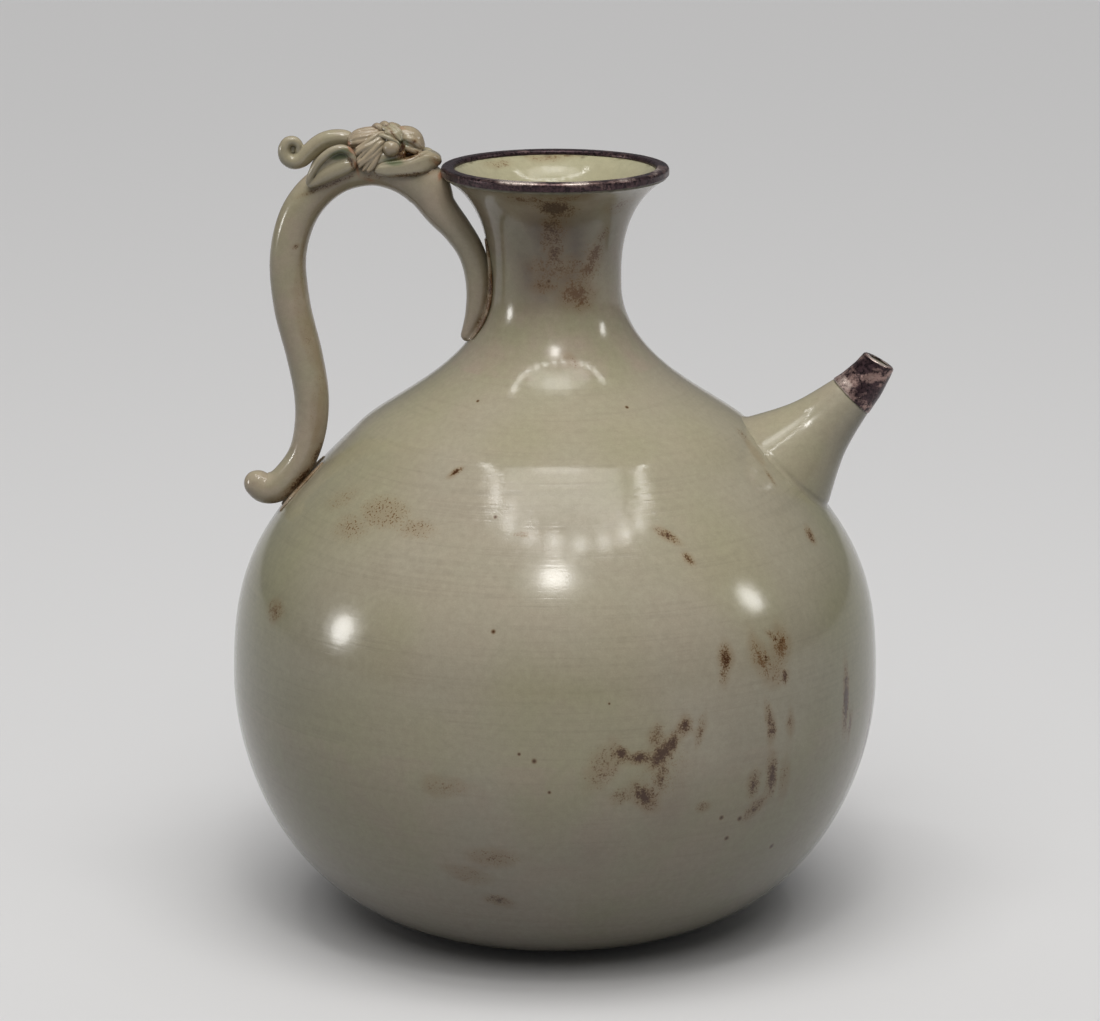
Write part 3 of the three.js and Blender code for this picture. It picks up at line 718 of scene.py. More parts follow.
def bandForm():
    top, metal, bevel, edge = rimHeight, bandMetal, band["bevel"], band["edge"]
    low = top - band["drop"]
    wallStart, clear = low + edge + band["wallStart"], bevel * band["overrun"]
    inside = vessel["lipRadius"] - vessel["lipThickness"] - seatGap - metal
    profile = closed(
        [rimRadius - metal, low],
        rounded((rimRadius - edge, low + edge), edge, 270, 360, band["edgeSteps"]),
        evenly(np.array([[rimRadius, wallStart], [rimRadius, top - clear]]), band["wallStep"]),
        rounded((rimRadius - bevel, top - bevel), bevel, 0, 90, band["bevelSteps"]),
        evenly(np.array([[rimRadius - clear, top], [inside + clear, top]]), band["topStep"]),
        rounded((inside + bevel, top - bevel), bevel, 90, 180),
        [inside, top - band["innerDrop"]],
        [inside + metal, top - band["innerDrop"]],
        [inside + metal, top - metal],
        [rimRadius - metal, top - metal],
    )
    mesh = finishMesh(throwForm(profile, band), band["sharpAngle"])
    shown["rimBand"] = (mesh, ["rim_band"], "tarnished_metal")


spoutForms()
bandForm()
print("spout and metal mounts made")

# welds of overlapping coils: size of the skin's cells, and rounds of smoothing
welds = {
    "plain": (0.24, 3), "smear": (0.25, 1), "knot": (0.2, 2),
    "crown": (0.22, 2), "brow": (0.18, 1), "tuft": (0.2, 1),
}
softening = 0.5


def joined(meshes):
    points, faces, start = [], [], 0
    for mesh in meshes:
        turnOutward(mesh)
        points.extend(vertex.co.copy() for vertex in mesh.vertices)
        faces.extend([start + index for index in face.vertices] for face in mesh.polygons)
        start += len(mesh.vertices)
        bpy.data.meshes.remove(mesh)
    made = bpy.data.meshes.new("joined")
    made.from_pydata(points, [], faces)
    return made


def welded(meshes, weld="plain"):
    # overlapping coils become one skin, with the creases between them softened a little
    rough = joined(meshes)
    holder = stand("joined", rough)
    cell, rounds = welds[weld]
    skin = holder.modifiers.new("skin", "REMESH")
    skin.mode = "VOXEL"
    skin.voxel_size = cell * mm
    soft = holder.modifiers.new("soft", "SMOOTH")
    soft.factor = softening
    soft.iterations = rounds
    graph = bpy.context.evaluated_depsgraph_get()
    made = bpy.data.meshes.new_from_object(holder.evaluated_get(graph))
    bpy.data.objects.remove(holder)
    bpy.data.meshes.remove(rough)
    return made


# Handle: one coil from the shoulder over the arch and down the neck
handle = {
    "reach": 58.7, "thickness": 14, "width": 14, "sides": 56, "rings": 420, "squareness": 2.15,
    "flare": 1.3, "flareCore": 1.5, "flareDepth": 2.5, "flareTop": 4,
}
# foot: out and up from the landing by the coil's thickness, then shares of half thickness and half width
footShares = [
    (1.26, 0.52, 0.32, 0.3), (1.02, 0.34, 0.37, 0.35), (0.74, 0.17, 0.43, 0.4), (0.38, 0.23, 0.44, 0.44),
    (0, 0.6, 0.43, 0.48), (-0.33, 1.13, 0.42, 0.5), (-0.54, 1.88, 0.45, 0.5),
]
# arch: out from the rim and up from the landing, in shares of the way
archShares = [
    (0.86, 0.3, 0.48, 0.5), (0.9, 0.42, 0.5, 0.5), (0.98, 0.58, 0.51, 0.5), (1, 0.73, 0.5, 0.5),
    (0.93, 0.85, 0.51, 0.5), (0.81, 0.925, 0.5, 0.5), (0.65, 0.972, 0.47, 0.5), (0.46, 0.99, 0.46, 0.5),
    (0.28, 0.98, 0.52, 0.5), (0.1, 0.94, 0.62, 0.52),
]
# leg: up from the waist by the lip's rise, off the neck by the coil's thickness
legShares = [
    (0.7, 0.94, 0.48, 0.52), (0.5, 0.7, 0.4, 0.5), (0.3, 0.45, 0.37, 0.47), (0.04, 0.28, 0.36, 0.44),
    (-0.26, 0.21, 0.3, 0.36), (-0.54, 0.08, 0.14, 0.18),
]
# clay smeared onto the neck: azimuth, height, half thickness, half width
neckSmear = [
    (-169, 270, 0.5, 1), (-167, 263, 0.9, 1.9), (-164.5, 256, 1, 2.5), (-163, 249, 1.2, 2.3),
    (-164, 242, 0.9, 2.7), (-166, 236, 1, 2), (-169, 231, 0.6, 1.1),
]
# clay smeared onto the shoulder: radius, distance aside, half thickness, half width
footSmear = [
    (90, 5.2, 0.4, 0.8), (93, 5.9, 0.7, 1.6), (96, 6.2, 0.8, 2.1), (99, 6.3, 0.7, 1.7), (102, 6.2, 0.9, 2.2),
    (105, 5.8, 0.7, 1.5), (107, 5.2, 0.4, 0.9),
]
smear = {"lift": 0.1, "sides": 20, "rings": 90}


def smoothPath(knots, steps=24):
    # centripetal spline, as the solids have
    knots = np.array(knots, float)
    ends = 2 * knots[0] - knots[1], 2 * knots[-1] - knots[-2]
    padded = np.vstack([ends[0], knots, ends[1]])
    line = []
    for n in range(len(knots) - 1):
        a, b, c, d = padded[n:n + 4]
        gaps = [((q - p) ** 2).sum() ** 0.25 for p, q in ((a, b), (b, c), (c, d))]
        gaps[1] = gaps[1] if gaps[1] > 1e-4 else 1.0
        gaps[0] = gaps[0] if gaps[0] > 1e-4 else gaps[1]
        gaps[2] = gaps[2] if gaps[2] > 1e-4 else gaps[1]
        leave = ((b - a) / gaps[0] - (c - a) / (gaps[0] + gaps[1]) + (c - b) / gaps[1]) * gaps[1]
        arrive = ((c - b) / gaps[1] - (d - b) / (gaps[1] + gaps[2]) + (d - c) / gaps[2]) * gaps[1]
        t = np.linspace(0, 1, steps, endpoint=False)[:, None]
        line.append(b + leave * t + (-3 * b + 3 * c - 2 * leave - arrive) * t ** 2
                    + (2 * b - 2 * c + leave + arrive) * t ** 3)
    line.append(knots[-1:])
    return np.vstack(line)


def rollCoil(stations, sides, rings, squareness=2.0, caps=8):
    # stations: x, y, z, half thickness, half width in millimetres
    stations = np.array(stations, float)
    path = smoothPath(stations[:, :3])
    sizes = smoothPath(np.column_stack([stations[:, 3:5], np.zeros(len(stations))]))
    return runTree(coilTree, path * mm, {
        "Sides": sides, "Rings": rings, "Cap Rings": caps, "Squareness": squareness,
    }, {"halfThick": sizes[:, 0] * mm, "halfWide": sizes[:, 1] * mm})


def shoulderAt(radius):
    upper = outline[outline[:, 1] > vessel["bellyHeight"]][::-1]
    return np.interp(radius, upper[:, 0], upper[:, 1])


def handleStations():
    landX = rimRadius + handle["reach"]
    landZ = float(shoulderAt(landX))
    thick, wide = handle["thickness"], handle["width"]
    rows = []
    for out, up, a, b in footShares:
        rows.append((-landX - out * thick, 0, landZ + up * thick, a * thick, b * wide))
    for reach, rise, a, b in archShares:
        z = landZ + rise * (rimHeight - landZ)
        rows.append((-rimRadius - reach * handle["reach"], 0, z, a * thick, b * wide))
    for height, lift, a, b in legShares:
        z = neckHeight + height * vessel["lipRise"]
        rows.append((-radiusAt(z) - lift * thick, 0, z, a * thick, b * wide))
    return rows


def smearCoils(hand):
    # clay smeared out beside the handle, onto the neck and onto the shoulder
    onNeck, onShoulder = [], []
    for azimuth, height, thick, wide in neckSmear:
        around = math.radians(azimuth)
        radius = radiusAt(height) + smear["lift"]
        onNeck.append((radius * math.cos(around), -hand * radius * math.sin(around), height, thick, wide))
    for radius, aside, thick, wide in footSmear:
        height = shoulderAt(radius) + smear["lift"]
        onShoulder.append((-math.sqrt(radius ** 2 - aside ** 2), hand * aside, height, thick, wide))
    return [rollCoil(rows, smear["sides"], smear["rings"]) for rows in (onNeck, onShoulder)]


def handleForm():
    mesh = rollCoil(handleStations(), handle["sides"], handle["rings"], handle["squareness"])
    points = readPoints(mesh) / mm
    distance, out = potField(points)
    sideways, size = alongPot(points - readField(mesh, "core", 3) / mm, out)
    push = flared(distance, handle["flare"]) * np.clip(size / handle["flareCore"], 0, 1)
    push[(distance < -handle["flareDepth"]) | (points[:, 2] > lipBase - handle["flareTop"])] = 0
    writePoints(mesh, (points + sideways * push[:, None]) * mm)
    smears = welded(smearCoils(1) + smearCoils(-1), "smear")
    shown["handleCoil"] = (finishMesh(joined([mesh, smears])), ["handle"], "celadon_glaze")


handleForm()
print("handle rolled")


# Dragon's head
head = {
    "length": 35, "width": 14, "sides": 26, "rings": 56, "caps": 6, "hornRings": 220, "jawSquareness": 4.0,
    "eyeRadius": 3.35, "eyePlace": (0.528, 0.46, 0.215), "eyeSides": 40,
    "knotEnds": ((0.74, 0.384), (0.47, 0.39)), "knotSwing": (0.11, 0.034), "knotArch": 0.03,
    "knotTurns": 1.5, "knotSize": (0.038, 0.11), "knotStations": 15, "knotRings": 70, "knotTaper": 0.25,
    "tuftStrands": 7, "tuftWave": 0.014, "tuftSwell": 0.22, "tuftPhases": (1.5, 2.1, 2.3),
}
# stations of the coils: back from the rim, aside, up from its top, half thickness, half width
# aside and half width are shares of the handle's width, the others of the head's length
skullCoils = [
    [(0.96, 0, 0.05, 0.09, 0.3), (0.85, 0, 0.13, 0.15, 0.43), (0.72, 0, 0.18, 0.18, 0.5),
     (0.57, 0, 0.185, 0.185, 0.48), (0.44, 0, 0.19, 0.155, 0.4), (0.33, 0, 0.17, 0.1, 0.3)],
    # palate that closes the mouth behind
    [(0.62, 0, 0.13, 0.05, 0.3), (0.46, 0, 0.135, 0.06, 0.26), (0.32, 0, 0.14, 0.055, 0.22),
     (0.22, 0, 0.14, 0.03, 0.16)],
    # cheek under the eye
    [(0.82, 0.3, 0.04, 0.06, 0.2), (0.7, 0.34, 0.085, 0.09, 0.22), (0.57, 0.33, 0.11, 0.09, 0.2),
     (0.46, 0.27, 0.13, 0.08, 0.18), (0.37, 0.18, 0.14, 0.06, 0.15)],
]
snoutCoils = [
    [(0.49, 0, 0.25, 0.1, 0.3), (0.42, 0, 0.29, 0.143, 0.34), (0.34, 0, 0.29, 0.138, 0.35),
     (0.28, 0, 0.25, 0.12, 0.33), (0.235, 0, 0.2, 0.08, 0.26), (0.215, 0, 0.15, 0.045, 0.2)],
    # wing of the nostril, both sides
    [(0.41, 0.22, 0.29, 0.022, 0.07), (0.37, 0.275, 0.305, 0.036, 0.09), (0.31, 0.29, 0.295, 0.044, 0.1),
     (0.25, 0.265, 0.25, 0.042, 0.1), (0.215, 0.22, 0.198, 0.03, 0.08)],
    # upper lip
    [(0.4, 0.25, 0.24, 0.024, 0.07), (0.36, 0.28, 0.21, 0.034, 0.09), (0.31, 0.29, 0.182, 0.036, 0.09),
     (0.25, 0.26, 0.165, 0.036, 0.09), (0.2, 0.18, 0.152, 0.03, 0.08)],
]
jawCoils = [
    [(0.735, 0, -0.02, 0.03, 0.55), (0.66, 0, -0.02, 0.07, 0.64), (0.56, 0, -0.018, 0.092, 0.665),
     (0.455, 0, -0.01, 0.1, 0.67), (0.315, 0, 0.01, 0.11, 0.66), (0.2, 0, 0.04, 0.12, 0.58),
     (0.11, 0, 0.06, 0.105, 0.44), (0.03, 0, 0.05, 0.07, 0.3), (-0.012, 0, 0.035, 0.035, 0.16)],
    # raised edge
    [(0.7, 0.5, 0.012, 0.018, 0.06), (0.6, 0.54, 0.045, 0.026, 0.07), (0.47, 0.55, 0.063, 0.028, 0.075),
     (0.33, 0.54, 0.085, 0.03, 0.08), (0.225, 0.43, 0.128, 0.034, 0.09), (0.15, 0.26, 0.148, 0.036, 0.1),
     (0.08, 0.12, 0.12, 0.03, 0.09)],
]
browCoils = [
    [(0.64, 0.12, 0.42, 0.02, 0.05), (0.6, 0.21, 0.413, 0.024, 0.06), (0.55, 0.31, 0.395, 0.026, 0.065),
     (0.495, 0.38, 0.362, 0.025, 0.065), (0.45, 0.4, 0.32, 0.02, 0.05), (0.42, 0.39, 0.285, 0.014, 0.04)],
    [(0.61, 0.08, 0.435, 0.02, 0.05), (0.565, 0.17, 0.43, 0.024, 0.06), (0.515, 0.26, 0.41, 0.026, 0.065),
     (0.46, 0.33, 0.372, 0.025, 0.065), (0.42, 0.35, 0.33, 0.02, 0.05), (0.395, 0.33, 0.285, 0.014, 0.04)],
    [(0.58, 0.05, 0.445, 0.02, 0.05), (0.53, 0.12, 0.442, 0.024, 0.06), (0.48, 0.2, 0.424, 0.026, 0.065),
     (0.435, 0.27, 0.388, 0.024, 0.06), (0.4, 0.28, 0.34, 0.014, 0.045)],
    # lid over the eye
    [(0.69, 0.36, 0.325, 0.02, 0.055), (0.636, 0.43, 0.352, 0.025, 0.065), (0.575, 0.49, 0.338, 0.026, 0.07),
     (0.505, 0.51, 0.308, 0.025, 0.065), (0.45, 0.48, 0.265, 0.02, 0.055), (0.425, 0.43, 0.21, 0.013, 0.04)],
    # bed under the strands
    [(0.6, 0.2, 0.38, 0.035, 0.12), (0.54, 0.27, 0.365, 0.045, 0.16), (0.48, 0.31, 0.335, 0.042, 0.14),
     (0.43, 0.32, 0.29, 0.025, 0.08)],
]
crownBase = [
    (0.995, 0, 0.235, 0.04, 0.2), (0.965, 0, 0.255, 0.078, 0.33), (0.91, 0, 0.274, 0.104, 0.41),
    (0.83, 0, 0.29, 0.112, 0.43), (0.74, 0, 0.312, 0.1, 0.38), (0.66, 0, 0.345, 0.06, 0.26),
]
crownRidges = {
    "angles": (-93, -65, -38, -12, 14, 42, 70, 97), "size": (0.03, 0.075), "lift": 0.85, "fullHigh": 0.1,
    "thinnest": 0.6,
}
# upper, middle and lower strand of the mane's tuft, the others lie between them
tuftEdges = [
    [(0.6, 0.27, 0.375, 0.02, 0.055), (0.66, 0.36, 0.354, 0.028, 0.08), (0.73, 0.43, 0.322, 0.031, 0.09),
     (0.82, 0.49, 0.27, 0.031, 0.09), (0.885, 0.52, 0.224, 0.026, 0.08), (0.918, 0.53, 0.198, 0.014, 0.05)],
    [(0.592, 0.38, 0.29, 0.02, 0.055), (0.645, 0.47, 0.257, 0.028, 0.08), (0.722, 0.54, 0.196, 0.031, 0.09),
     (0.808, 0.58, 0.127, 0.031, 0.09), (0.872, 0.595, 0.073, 0.026, 0.08),
     (0.904, 0.6, 0.047, 0.014, 0.05)],
    [(0.63, 0.42, 0.175, 0.02, 0.055), (0.662, 0.49, 0.14, 0.026, 0.08), (0.702, 0.55, 0.083, 0.029, 0.085),
     (0.745, 0.58, 0.027, 0.029, 0.085), (0.78, 0.59, -0.015, 0.024, 0.075),
     (0.8, 0.59, -0.038, 0.014, 0.05)],
]
tuftBed = [
    (0.6, 0.2, 0.25, 0.09, 0.2), (0.7, 0.35, 0.19, 0.12, 0.2), (0.8, 0.43, 0.12, 0.11, 0.16),
    (0.87, 0.47, 0.08, 0.07, 0.1),
]
earCoils = [
    # leaf
    [(1.42, 0.53, -0.16, 0.05, 0.08), (1.3, 0.55, -0.03, 0.09, 0.09), (1.15, 0.55, 0.07, 0.12, 0.09),
     (1.02, 0.54, 0.09, 0.1, 0.1), (0.96, 0.53, 0.08, 0.05, 0.08)],
    # roll along its lower edge
    [(1.435, 0.55, -0.2, 0.022, 0.06), (1.35, 0.58, -0.15, 0.052, 0.115), (1.25, 0.595, -0.082, 0.08, 0.14),
     (1.13, 0.6, -0.024, 0.087, 0.15), (1.02, 0.59, 0.022, 0.083, 0.145), (0.945, 0.565, 0.052, 0.06, 0.12),
     (0.925, 0.55, 0.07, 0.04, 0.1)],
    # rim curled over its top
    [(1.432, 0.565, -0.185, 0.024, 0.065), (1.418, 0.6, -0.11, 0.036, 0.095), (1.365, 0.64, 0, 0.043, 0.11),
     (1.275, 0.668, 0.116, 0.046, 0.12), (1.165, 0.67, 0.197, 0.048, 0.12), (1.06, 0.655, 0.222, 0.047, 0.12),
     (0.985, 0.63, 0.19, 0.045, 0.12), (0.95, 0.6, 0.115, 0.045, 0.115), (0.95, 0.575, 0.04, 0.045, 0.11),
     (0.985, 0.56, 0, 0.04, 0.1)],
]
hornCoils = [
    [(0.95, 0.2, 0.262, 0.07, 0.18), (1, 0.222, 0.277, 0.082, 0.21), (1.064, 0.23, 0.288, 0.092, 0.23),
     (1.17, 0.25, 0.282, 0.098, 0.25), (1.28, 0.265, 0.25, 0.098, 0.25), (1.37, 0.28, 0.19, 0.098, 0.25),
     (1.45, 0.285, 0.117, 0.096, 0.24), (1.53, 0.285, 0.045, 0.091, 0.23),
     (1.615, 0.285, 0.025, 0.085, 0.215), (1.69, 0.285, 0.069, 0.077, 0.2),
     (1.71, 0.285, 0.16, 0.068, 0.18), (1.667, 0.285, 0.238, 0.061, 0.16),
     (1.595, 0.285, 0.249, 0.053, 0.145), (1.548, 0.285, 0.2, 0.047, 0.13),
     (1.558, 0.285, 0.145, 0.04, 0.11), (1.592, 0.285, 0.12, 0.03, 0.08)],
    # floor of the scroll
    [(1.56, 0.37, 0.2, 0.05, 0.07), (1.62, 0.37, 0.15, 0.07, 0.07), (1.68, 0.37, 0.1, 0.05, 0.07)],
]


def headSpot(row, hand=1):
    back, aside, up = row[:3]
    return (-rimRadius - back * head["length"], hand * aside * head["width"], rimHeight + up * head["length"])


def headCoil(rows, hand=1, squareness=2.0, rings=head["rings"]):
    stations = [(*headSpot(row, hand), row[3] * head["length"], row[4] * head["width"]) for row in rows]
    return rollCoil(stations, head["sides"], rings, squareness, head["caps"])


def bothSides(coils):
    # the first coil lies in the middle, the others on both sides
    made = [headCoil(coils[0])]
    for rows in coils[1:]:
        made += [headCoil(rows, 1), headCoil(rows, -1)]
    return made


def knotCoils():
    (back, backUp), (front, frontUp) = head["knotEnds"]
    swing, lift = head["knotSwing"]
    thick, wide = head["knotSize"]
    coils = []
    for phase in (0, math.pi):
        rows = []
        for share in np.arange(head["knotStations"]) / (head["knotStations"] - 1):
            angle = phase + share * head["knotTurns"] * math.tau
            middle = math.sin(share * math.pi)
            up = backUp + (frontUp - backUp) * share + head["knotArch"] * middle
            fade = 1 - head["knotTaper"] + head["knotTaper"] * middle
            rows.append((back + (front - back) * share, math.cos(angle) * swing, up + math.sin(angle) * lift,
                         thick * fade, wide * fade))
        coils.append(headCoil(rows, rings=head["knotRings"]))
    return coils


def crownCoils():
    coils = [headCoil(crownBase)]
    lift, (thick, wide) = crownRidges["lift"], crownRidges["size"]
    thinnest = crownRidges["thinnest"]
    for degrees in crownRidges["angles"]:
        angle = math.radians(degrees)
        rows = []
        for back, _, up, high, broad in crownBase:
            # the ridges are thinner where the lobe is low
            fade = thinnest + (1 - thinnest) * high / crownRidges["fullHigh"]
            aside, raised = math.sin(angle) * broad * lift, up + math.cos(angle) * high * lift
            rows.append((back, aside, raised, thick * fade, wide * fade))
        coils.append(headCoil(rows))
    return coils


def tuftCoils(hand):
    upper, middle, lower = (np.array(rows) for rows in tuftEdges)
    coils = [headCoil(tuftBed, hand)]
    perPoint, perStrand, perSwell = head["tuftPhases"]
    for n in range(head["tuftStrands"]):
        share = n / (head["tuftStrands"] - 1)
        rows = (upper * (2 * share - 1) * (share - 1) + middle * 4 * share * (1 - share)
                + lower * share * (2 * share - 1))
        # each strand waves a little, and some are thicker
        rows[:, 2] += head["tuftWave"] * np.sin(np.arange(len(rows)) * perPoint + n * perStrand)
        rows[:, 3:] *= 1 + head["tuftSwell"] * math.sin(n * perSwell)
        coils.append(headCoil(rows, hand))
    return coils


def eyeForm(hand):
    ball = bpy.data.meshes.new("ball")
    count = head["eyeSides"]
    rings = count // 2 - 1
    spots, faces = [], []
    for ring in range(rings):
        polar = math.pi * (ring + 1) / (rings + 1)
        level = math.sin(polar)
        for n in range(count):
            turn = math.tau * n / count
            spots.append((level * math.cos(turn), level * math.sin(turn), math.cos(polar)))
    for here in range(0, (rings - 1) * count, count):
        for n in range(count):
            after = (n + 1) % count
            faces.append((here + n, here + count + n, here + count + after, here + after))
    top, bottom, low = len(spots), len(spots) + 1, (rings - 1) * count
    spots += [(0, 0, 1), (0, 0, -1)]
    for n in range(count):
        after = (n + 1) % count
        faces += [(top, n, after), (bottom, low + after, low + n)]
    centre = np.array(headSpot(head["eyePlace"], hand))
    ball.from_pydata([tuple((centre + np.array(spot) * head["eyeRadius"]) * mm) for spot in spots], [], faces)
    return ball


def headForms():
    celadon, thin = "celadon_glaze", "thin_glaze"

    def show(name, coils, node, slot, weld="plain"):
        shown[name] = (finishMesh(welded(coils, weld)), [node], slot)

    show("dragonSkull", bothSides(skullCoils), "dragon_skull", thin)
    show("dragonSnout", bothSides(snoutCoils), "dragon_snout", thin)
    jaw = [headCoil(jawCoils[0], squareness=head["jawSquareness"])]
    jaw += [headCoil(jawCoils[1], hand) for hand in (1, -1)]
    show("dragonJaw", jaw, "dragon_jaw", celadon)
    show("topknot", knotCoils(), "topknot", thin, "knot")
    show("crownLobe", crownCoils(), "crown_lobe", thin, "crown")
    horn = [headCoil(hornCoils[0], rings=head["hornRings"]), headCoil(hornCoils[1])]
    show("hornScroll", horn, "horn", celadon)
    for side, hand in (("Near", -1), ("Far", 1)):
        node = side.lower()
        shown["eye" + side] = (finishMesh(eyeForm(hand)), ["eye_" + node], celadon)
        show("brow" + side, [headCoil(rows, hand) for rows in browCoils], "brow_" + node, celadon, "brow")
        show("maneTuft" + side, tuftCoils(hand), "mane_tuft_" + node, thin, "tuft")
        show("ear" + side, [headCoil(rows, hand) for rows in earCoils], "ear_" + node, celadon)


headForms()
print("dragon's head modelled")


# Marks in the glaze: azimuth from the spout, height, half length, half width, turn from level, strength
darkMarks = [
    (-79, 101, 4, 3, -45, 1), (-76, 99, 7, 2.5, -5, 0.8), (-72, 100, 8, 4, 50, 1),
    (-70.5, 103, 5, 3, 60, 1), (-68, 109.5, 4, 3, 60, 0.95), (-73, 106, 5, 3, 80, 0.5),
    (-72, 92, 8, 3, 85, 0.45), (-75, 84, 7, 4, -50, 1), (-79, 85, 4, 3, 40, 0.3), (-82, 97, 9, 5, 60, 0.2),
    (-65, 107, 6, 2, 75, 0.4), (-59.5, 132, 6, 3, 85, 0.85), (-60, 126, 4, 2, 80, 0.3),
    (-51, 129, 4, 2, -65, 0.75), (-48.5, 136, 4, 1.5, -50, 0.8), (-47, 133, 3, 2, 60, 0.7),
    (-47, 121, 3.5, 2, 80, 0.95), (-51, 106, 8, 2, -80, 0.65), (-50.5, 102, 5, 2.5, 90, 0.85),
    (-46, 103, 5, 2, 90, 0.5), (-50, 84, 9, 3, -85, 0.95), (-54, 82, 6, 3, 85, 0.6),
    (-53, 72, 6, 3, 40, 0.6), (-64, 77, 3, 2, 0, 0.4), (-29, 103, 15, 2.8, 87, 1.3),
    (-27, 92, 7, 2, 84, 0.6), (-13, 78, 20, 3, 88, 1.2), (-90, 286.5, 9, 5.5, -20, 1),
    (-93, 277, 10, 4, 88, 0.65), (-91, 268, 7, 3.5, 80, 0.6), (-98, 271, 4, 2, 90, 0.35),
    (-86, 262, 12, 5, 0, 0.3), (-99, 255, 5, 3, 0, 0.35), (-65, 174, 6, 2, -42, 0.75),
    (-62, 166, 3, 2, -65, 0.6), (-118, 193.4, 3.2, 1.5, 50, 0.9), (-97.5, 176, 2.6, 1.2, 0, 0.4),
    (-25, 163, 4, 3, 66, 0.55), (-101, 39, 5, 3, -20, 0.7), (-151, 137, 6, 4, 0, 0.25),
    (-90, 283, 7, 4, 85, 0.5), (-89, 274, 8, 3, 88, 0.35), (-23, 183, 4, 1.5, 70, 0.3),
    (95, 291, 10, 2.5, 0, 0.5), (82, 292, 7, 2, 0, 0.35), (128, 290, 8, 2.5, 0, 0.3),
]
rustMarks = [
    (-52, 129, 10, 4, -70, 0.65), (-47, 132, 8, 5, 80, 0.85), (-49, 123, 6, 5, 0, 0.4),
    (-47, 82, 8, 3, -85, 0.45), (-55, 267, 6, 4, 60, 0.9), (-50, 273, 5, 3, 70, 0.6),
    (-61, 261, 8, 4, 50, 0.7), (-71, 252, 8, 6.5, -10, 0.9), (-67, 249, 5, 3, -20, 0.7),
    (-108, 290, 10, 4, 0, 0.6), (-84, 291, 9, 3, 0, 0.5), (-44, 286, 7, 4, 0, 0.45),
    (-101, 59, 9, 4, 0, 0.45), (-106, 50, 8, 4, -14, 0.35), (-109, 87, 8, 4, 0, 0.3),
    (-79, 228, 4, 2, -53, 0.45), (-19, 191, 6, 3, 66, 0.05), (-88, 280, 12, 5, 88, 0.4),
]
# specks strewn over the left shoulder and under the rim
speckFields = [
    (-133, 178, 16, 9, 0, 1), (-140, 171, 14, 9, 0, 0.6), (-122, 175, 12, 6, 0, 0.7),
    (-149, 178, 14, 8, 30, 0.45), (-17, 196, 8, 4, 60, 0.6), (-88, 291, 18, 4, 0, 0.6),
    (-60, 262, 16, 9, 80, 0.5), (-72, 92, 20, 14, 60, 0.35),
]
# blushes of warmer, greyer glaze; the first two, on the front of the neck below the flared lip, are painted
# shade
warmPatchesAndLipShade = [
    (-88, 268, 36, 20, 90, 1), (-112, 262, 28, 12, 90, 0.6), (-70, 78, 34, 22, 60, 0.22),
    (-84, 60, 34, 22, 20, 0.18), (-142, 108, 30, 18, 80, 0.15), (-103, 42, 40, 20, 0, 0.18),
    (-58, 100, 30, 18, 80, 0.15),
]
# iron pinholes: azimuth, height, radius
pinholes = [
    (-101, 145, 0.9), (-93.5, 99, 1), (-96, 101.5, 0.7), (-91, 87, 0.7), (-95.5, 257, 0.8),
    (-58.5, 212.5, 0.8), (-60, 71, 1), (-56, 69, 1.1), (-58, 61.5, 1), (-45.5, 52, 1.2), (-104, 181, 0.8),
    (-126, 214, 0.7), (-81, 120, 0.5),
]

# Stains and painted shade on the handle and the head as seen from the near side: x, z, half length, half
# width, turn, strength
# the three faint rows along the handle's inner side are a brown tint with painted shade
sideRust = [
    (-24.4, 254, 7, 2, 90, 1), (-25.2, 246, 6, 2, 78, 1), (-28.2, 237.5, 7, 1.8, 64, 0.9),
    (-45, 299.5, 3, 2, -40, 0.5), (-57.5, 302.3, 4, 1.8, 10, 1), (-91.5, 206, 14, 2.2, 85, 0.05),
    (-95, 232, 14, 2.2, 105, 0.05), (-97, 255, 12, 2.2, 82, 0.08), (-69.5, 294, 5, 1.5, 0, 0.5),
]
# the rows under the jaw, under the ear and round the eye are painted shadow lines; the others darken rust, a
# speck and the joints at the strap's top, the ear and the handle's foot
sideStainsAndShade = [
    (-24.8, 252, 5, 1.2, 88, 0.9), (-27, 268, 6, 2, 112, 0.7), (-111.5, 162, 6, 3.5, 45, 1),
    (-99, 175, 12, 2.2, 46, 0.7), (-90, 185.5, 6, 3.5, 50, 1), (-99, 267, 1.4, 1, 30, 0.5),
    (-55, 294.8, 10, 1, 5, 0.6), (-85.5, 291, 12, 1.1, 22, 0.5), (-77.2, 300, 5, 1, -70, 0.6),
    (-58.2, 304.5, 3.2, 1.3, 75, 0.9), (-56.5, 302, 6, 1.6, 5, 1), (-53.6, 307, 1.4, 1, 30, 0.8),
    (-62, 310.5, 3, 0.8, -50, 0.5),
]
sideBare = [
    (-43.6, 293.8, 3, 1.5, 70, 0.7), (-77.5, 305, 4, 1, -55, 0.6), (-75.4, 297.5, 5, 0.9, -75, 0.6),
    (-58.3, 312, 4, 1.4, -20, 0.2), (-71, 292.6, 4, 1, -15, 0.4), (-45, 299, 3, 1.2, -40, 0.3),
]
# bright worn spots on the metal; along the band's front top edge they also paint its highlight
sideWearAndHighlight = [
    (112, 214, 9, 6, -40, 0.8), (121, 215.5, 6, 3, 40, 0.6), (125, 221.8, 6.5, 1.2, -25, 1.5),
    (116.5, 209, 4, 2, 40, 0.4), (-14, 297, 14, 1.3, 0, 1.2), (8, 296.9, 12, 1, 0, 0.9),
    (26, 296.9, 9, 0.9, 0, 0.7), (38, 297, 4, 0.9, 0, 0.7),
]
# hollows where green glaze lies deep; the two by the eye also paint the shade round it
sideHollow = [(-81, 303, 6, 2.6, 15, 1), (-61.5, 300, 5, 2, -5, 0.8), (-57.5, 306.5, 2, 2.5, 70, 0.9)]

# how far a mark reaches into the wall, and how soon one drawn from the side fades past the near half
markDepth = 6
sideDepth = 2
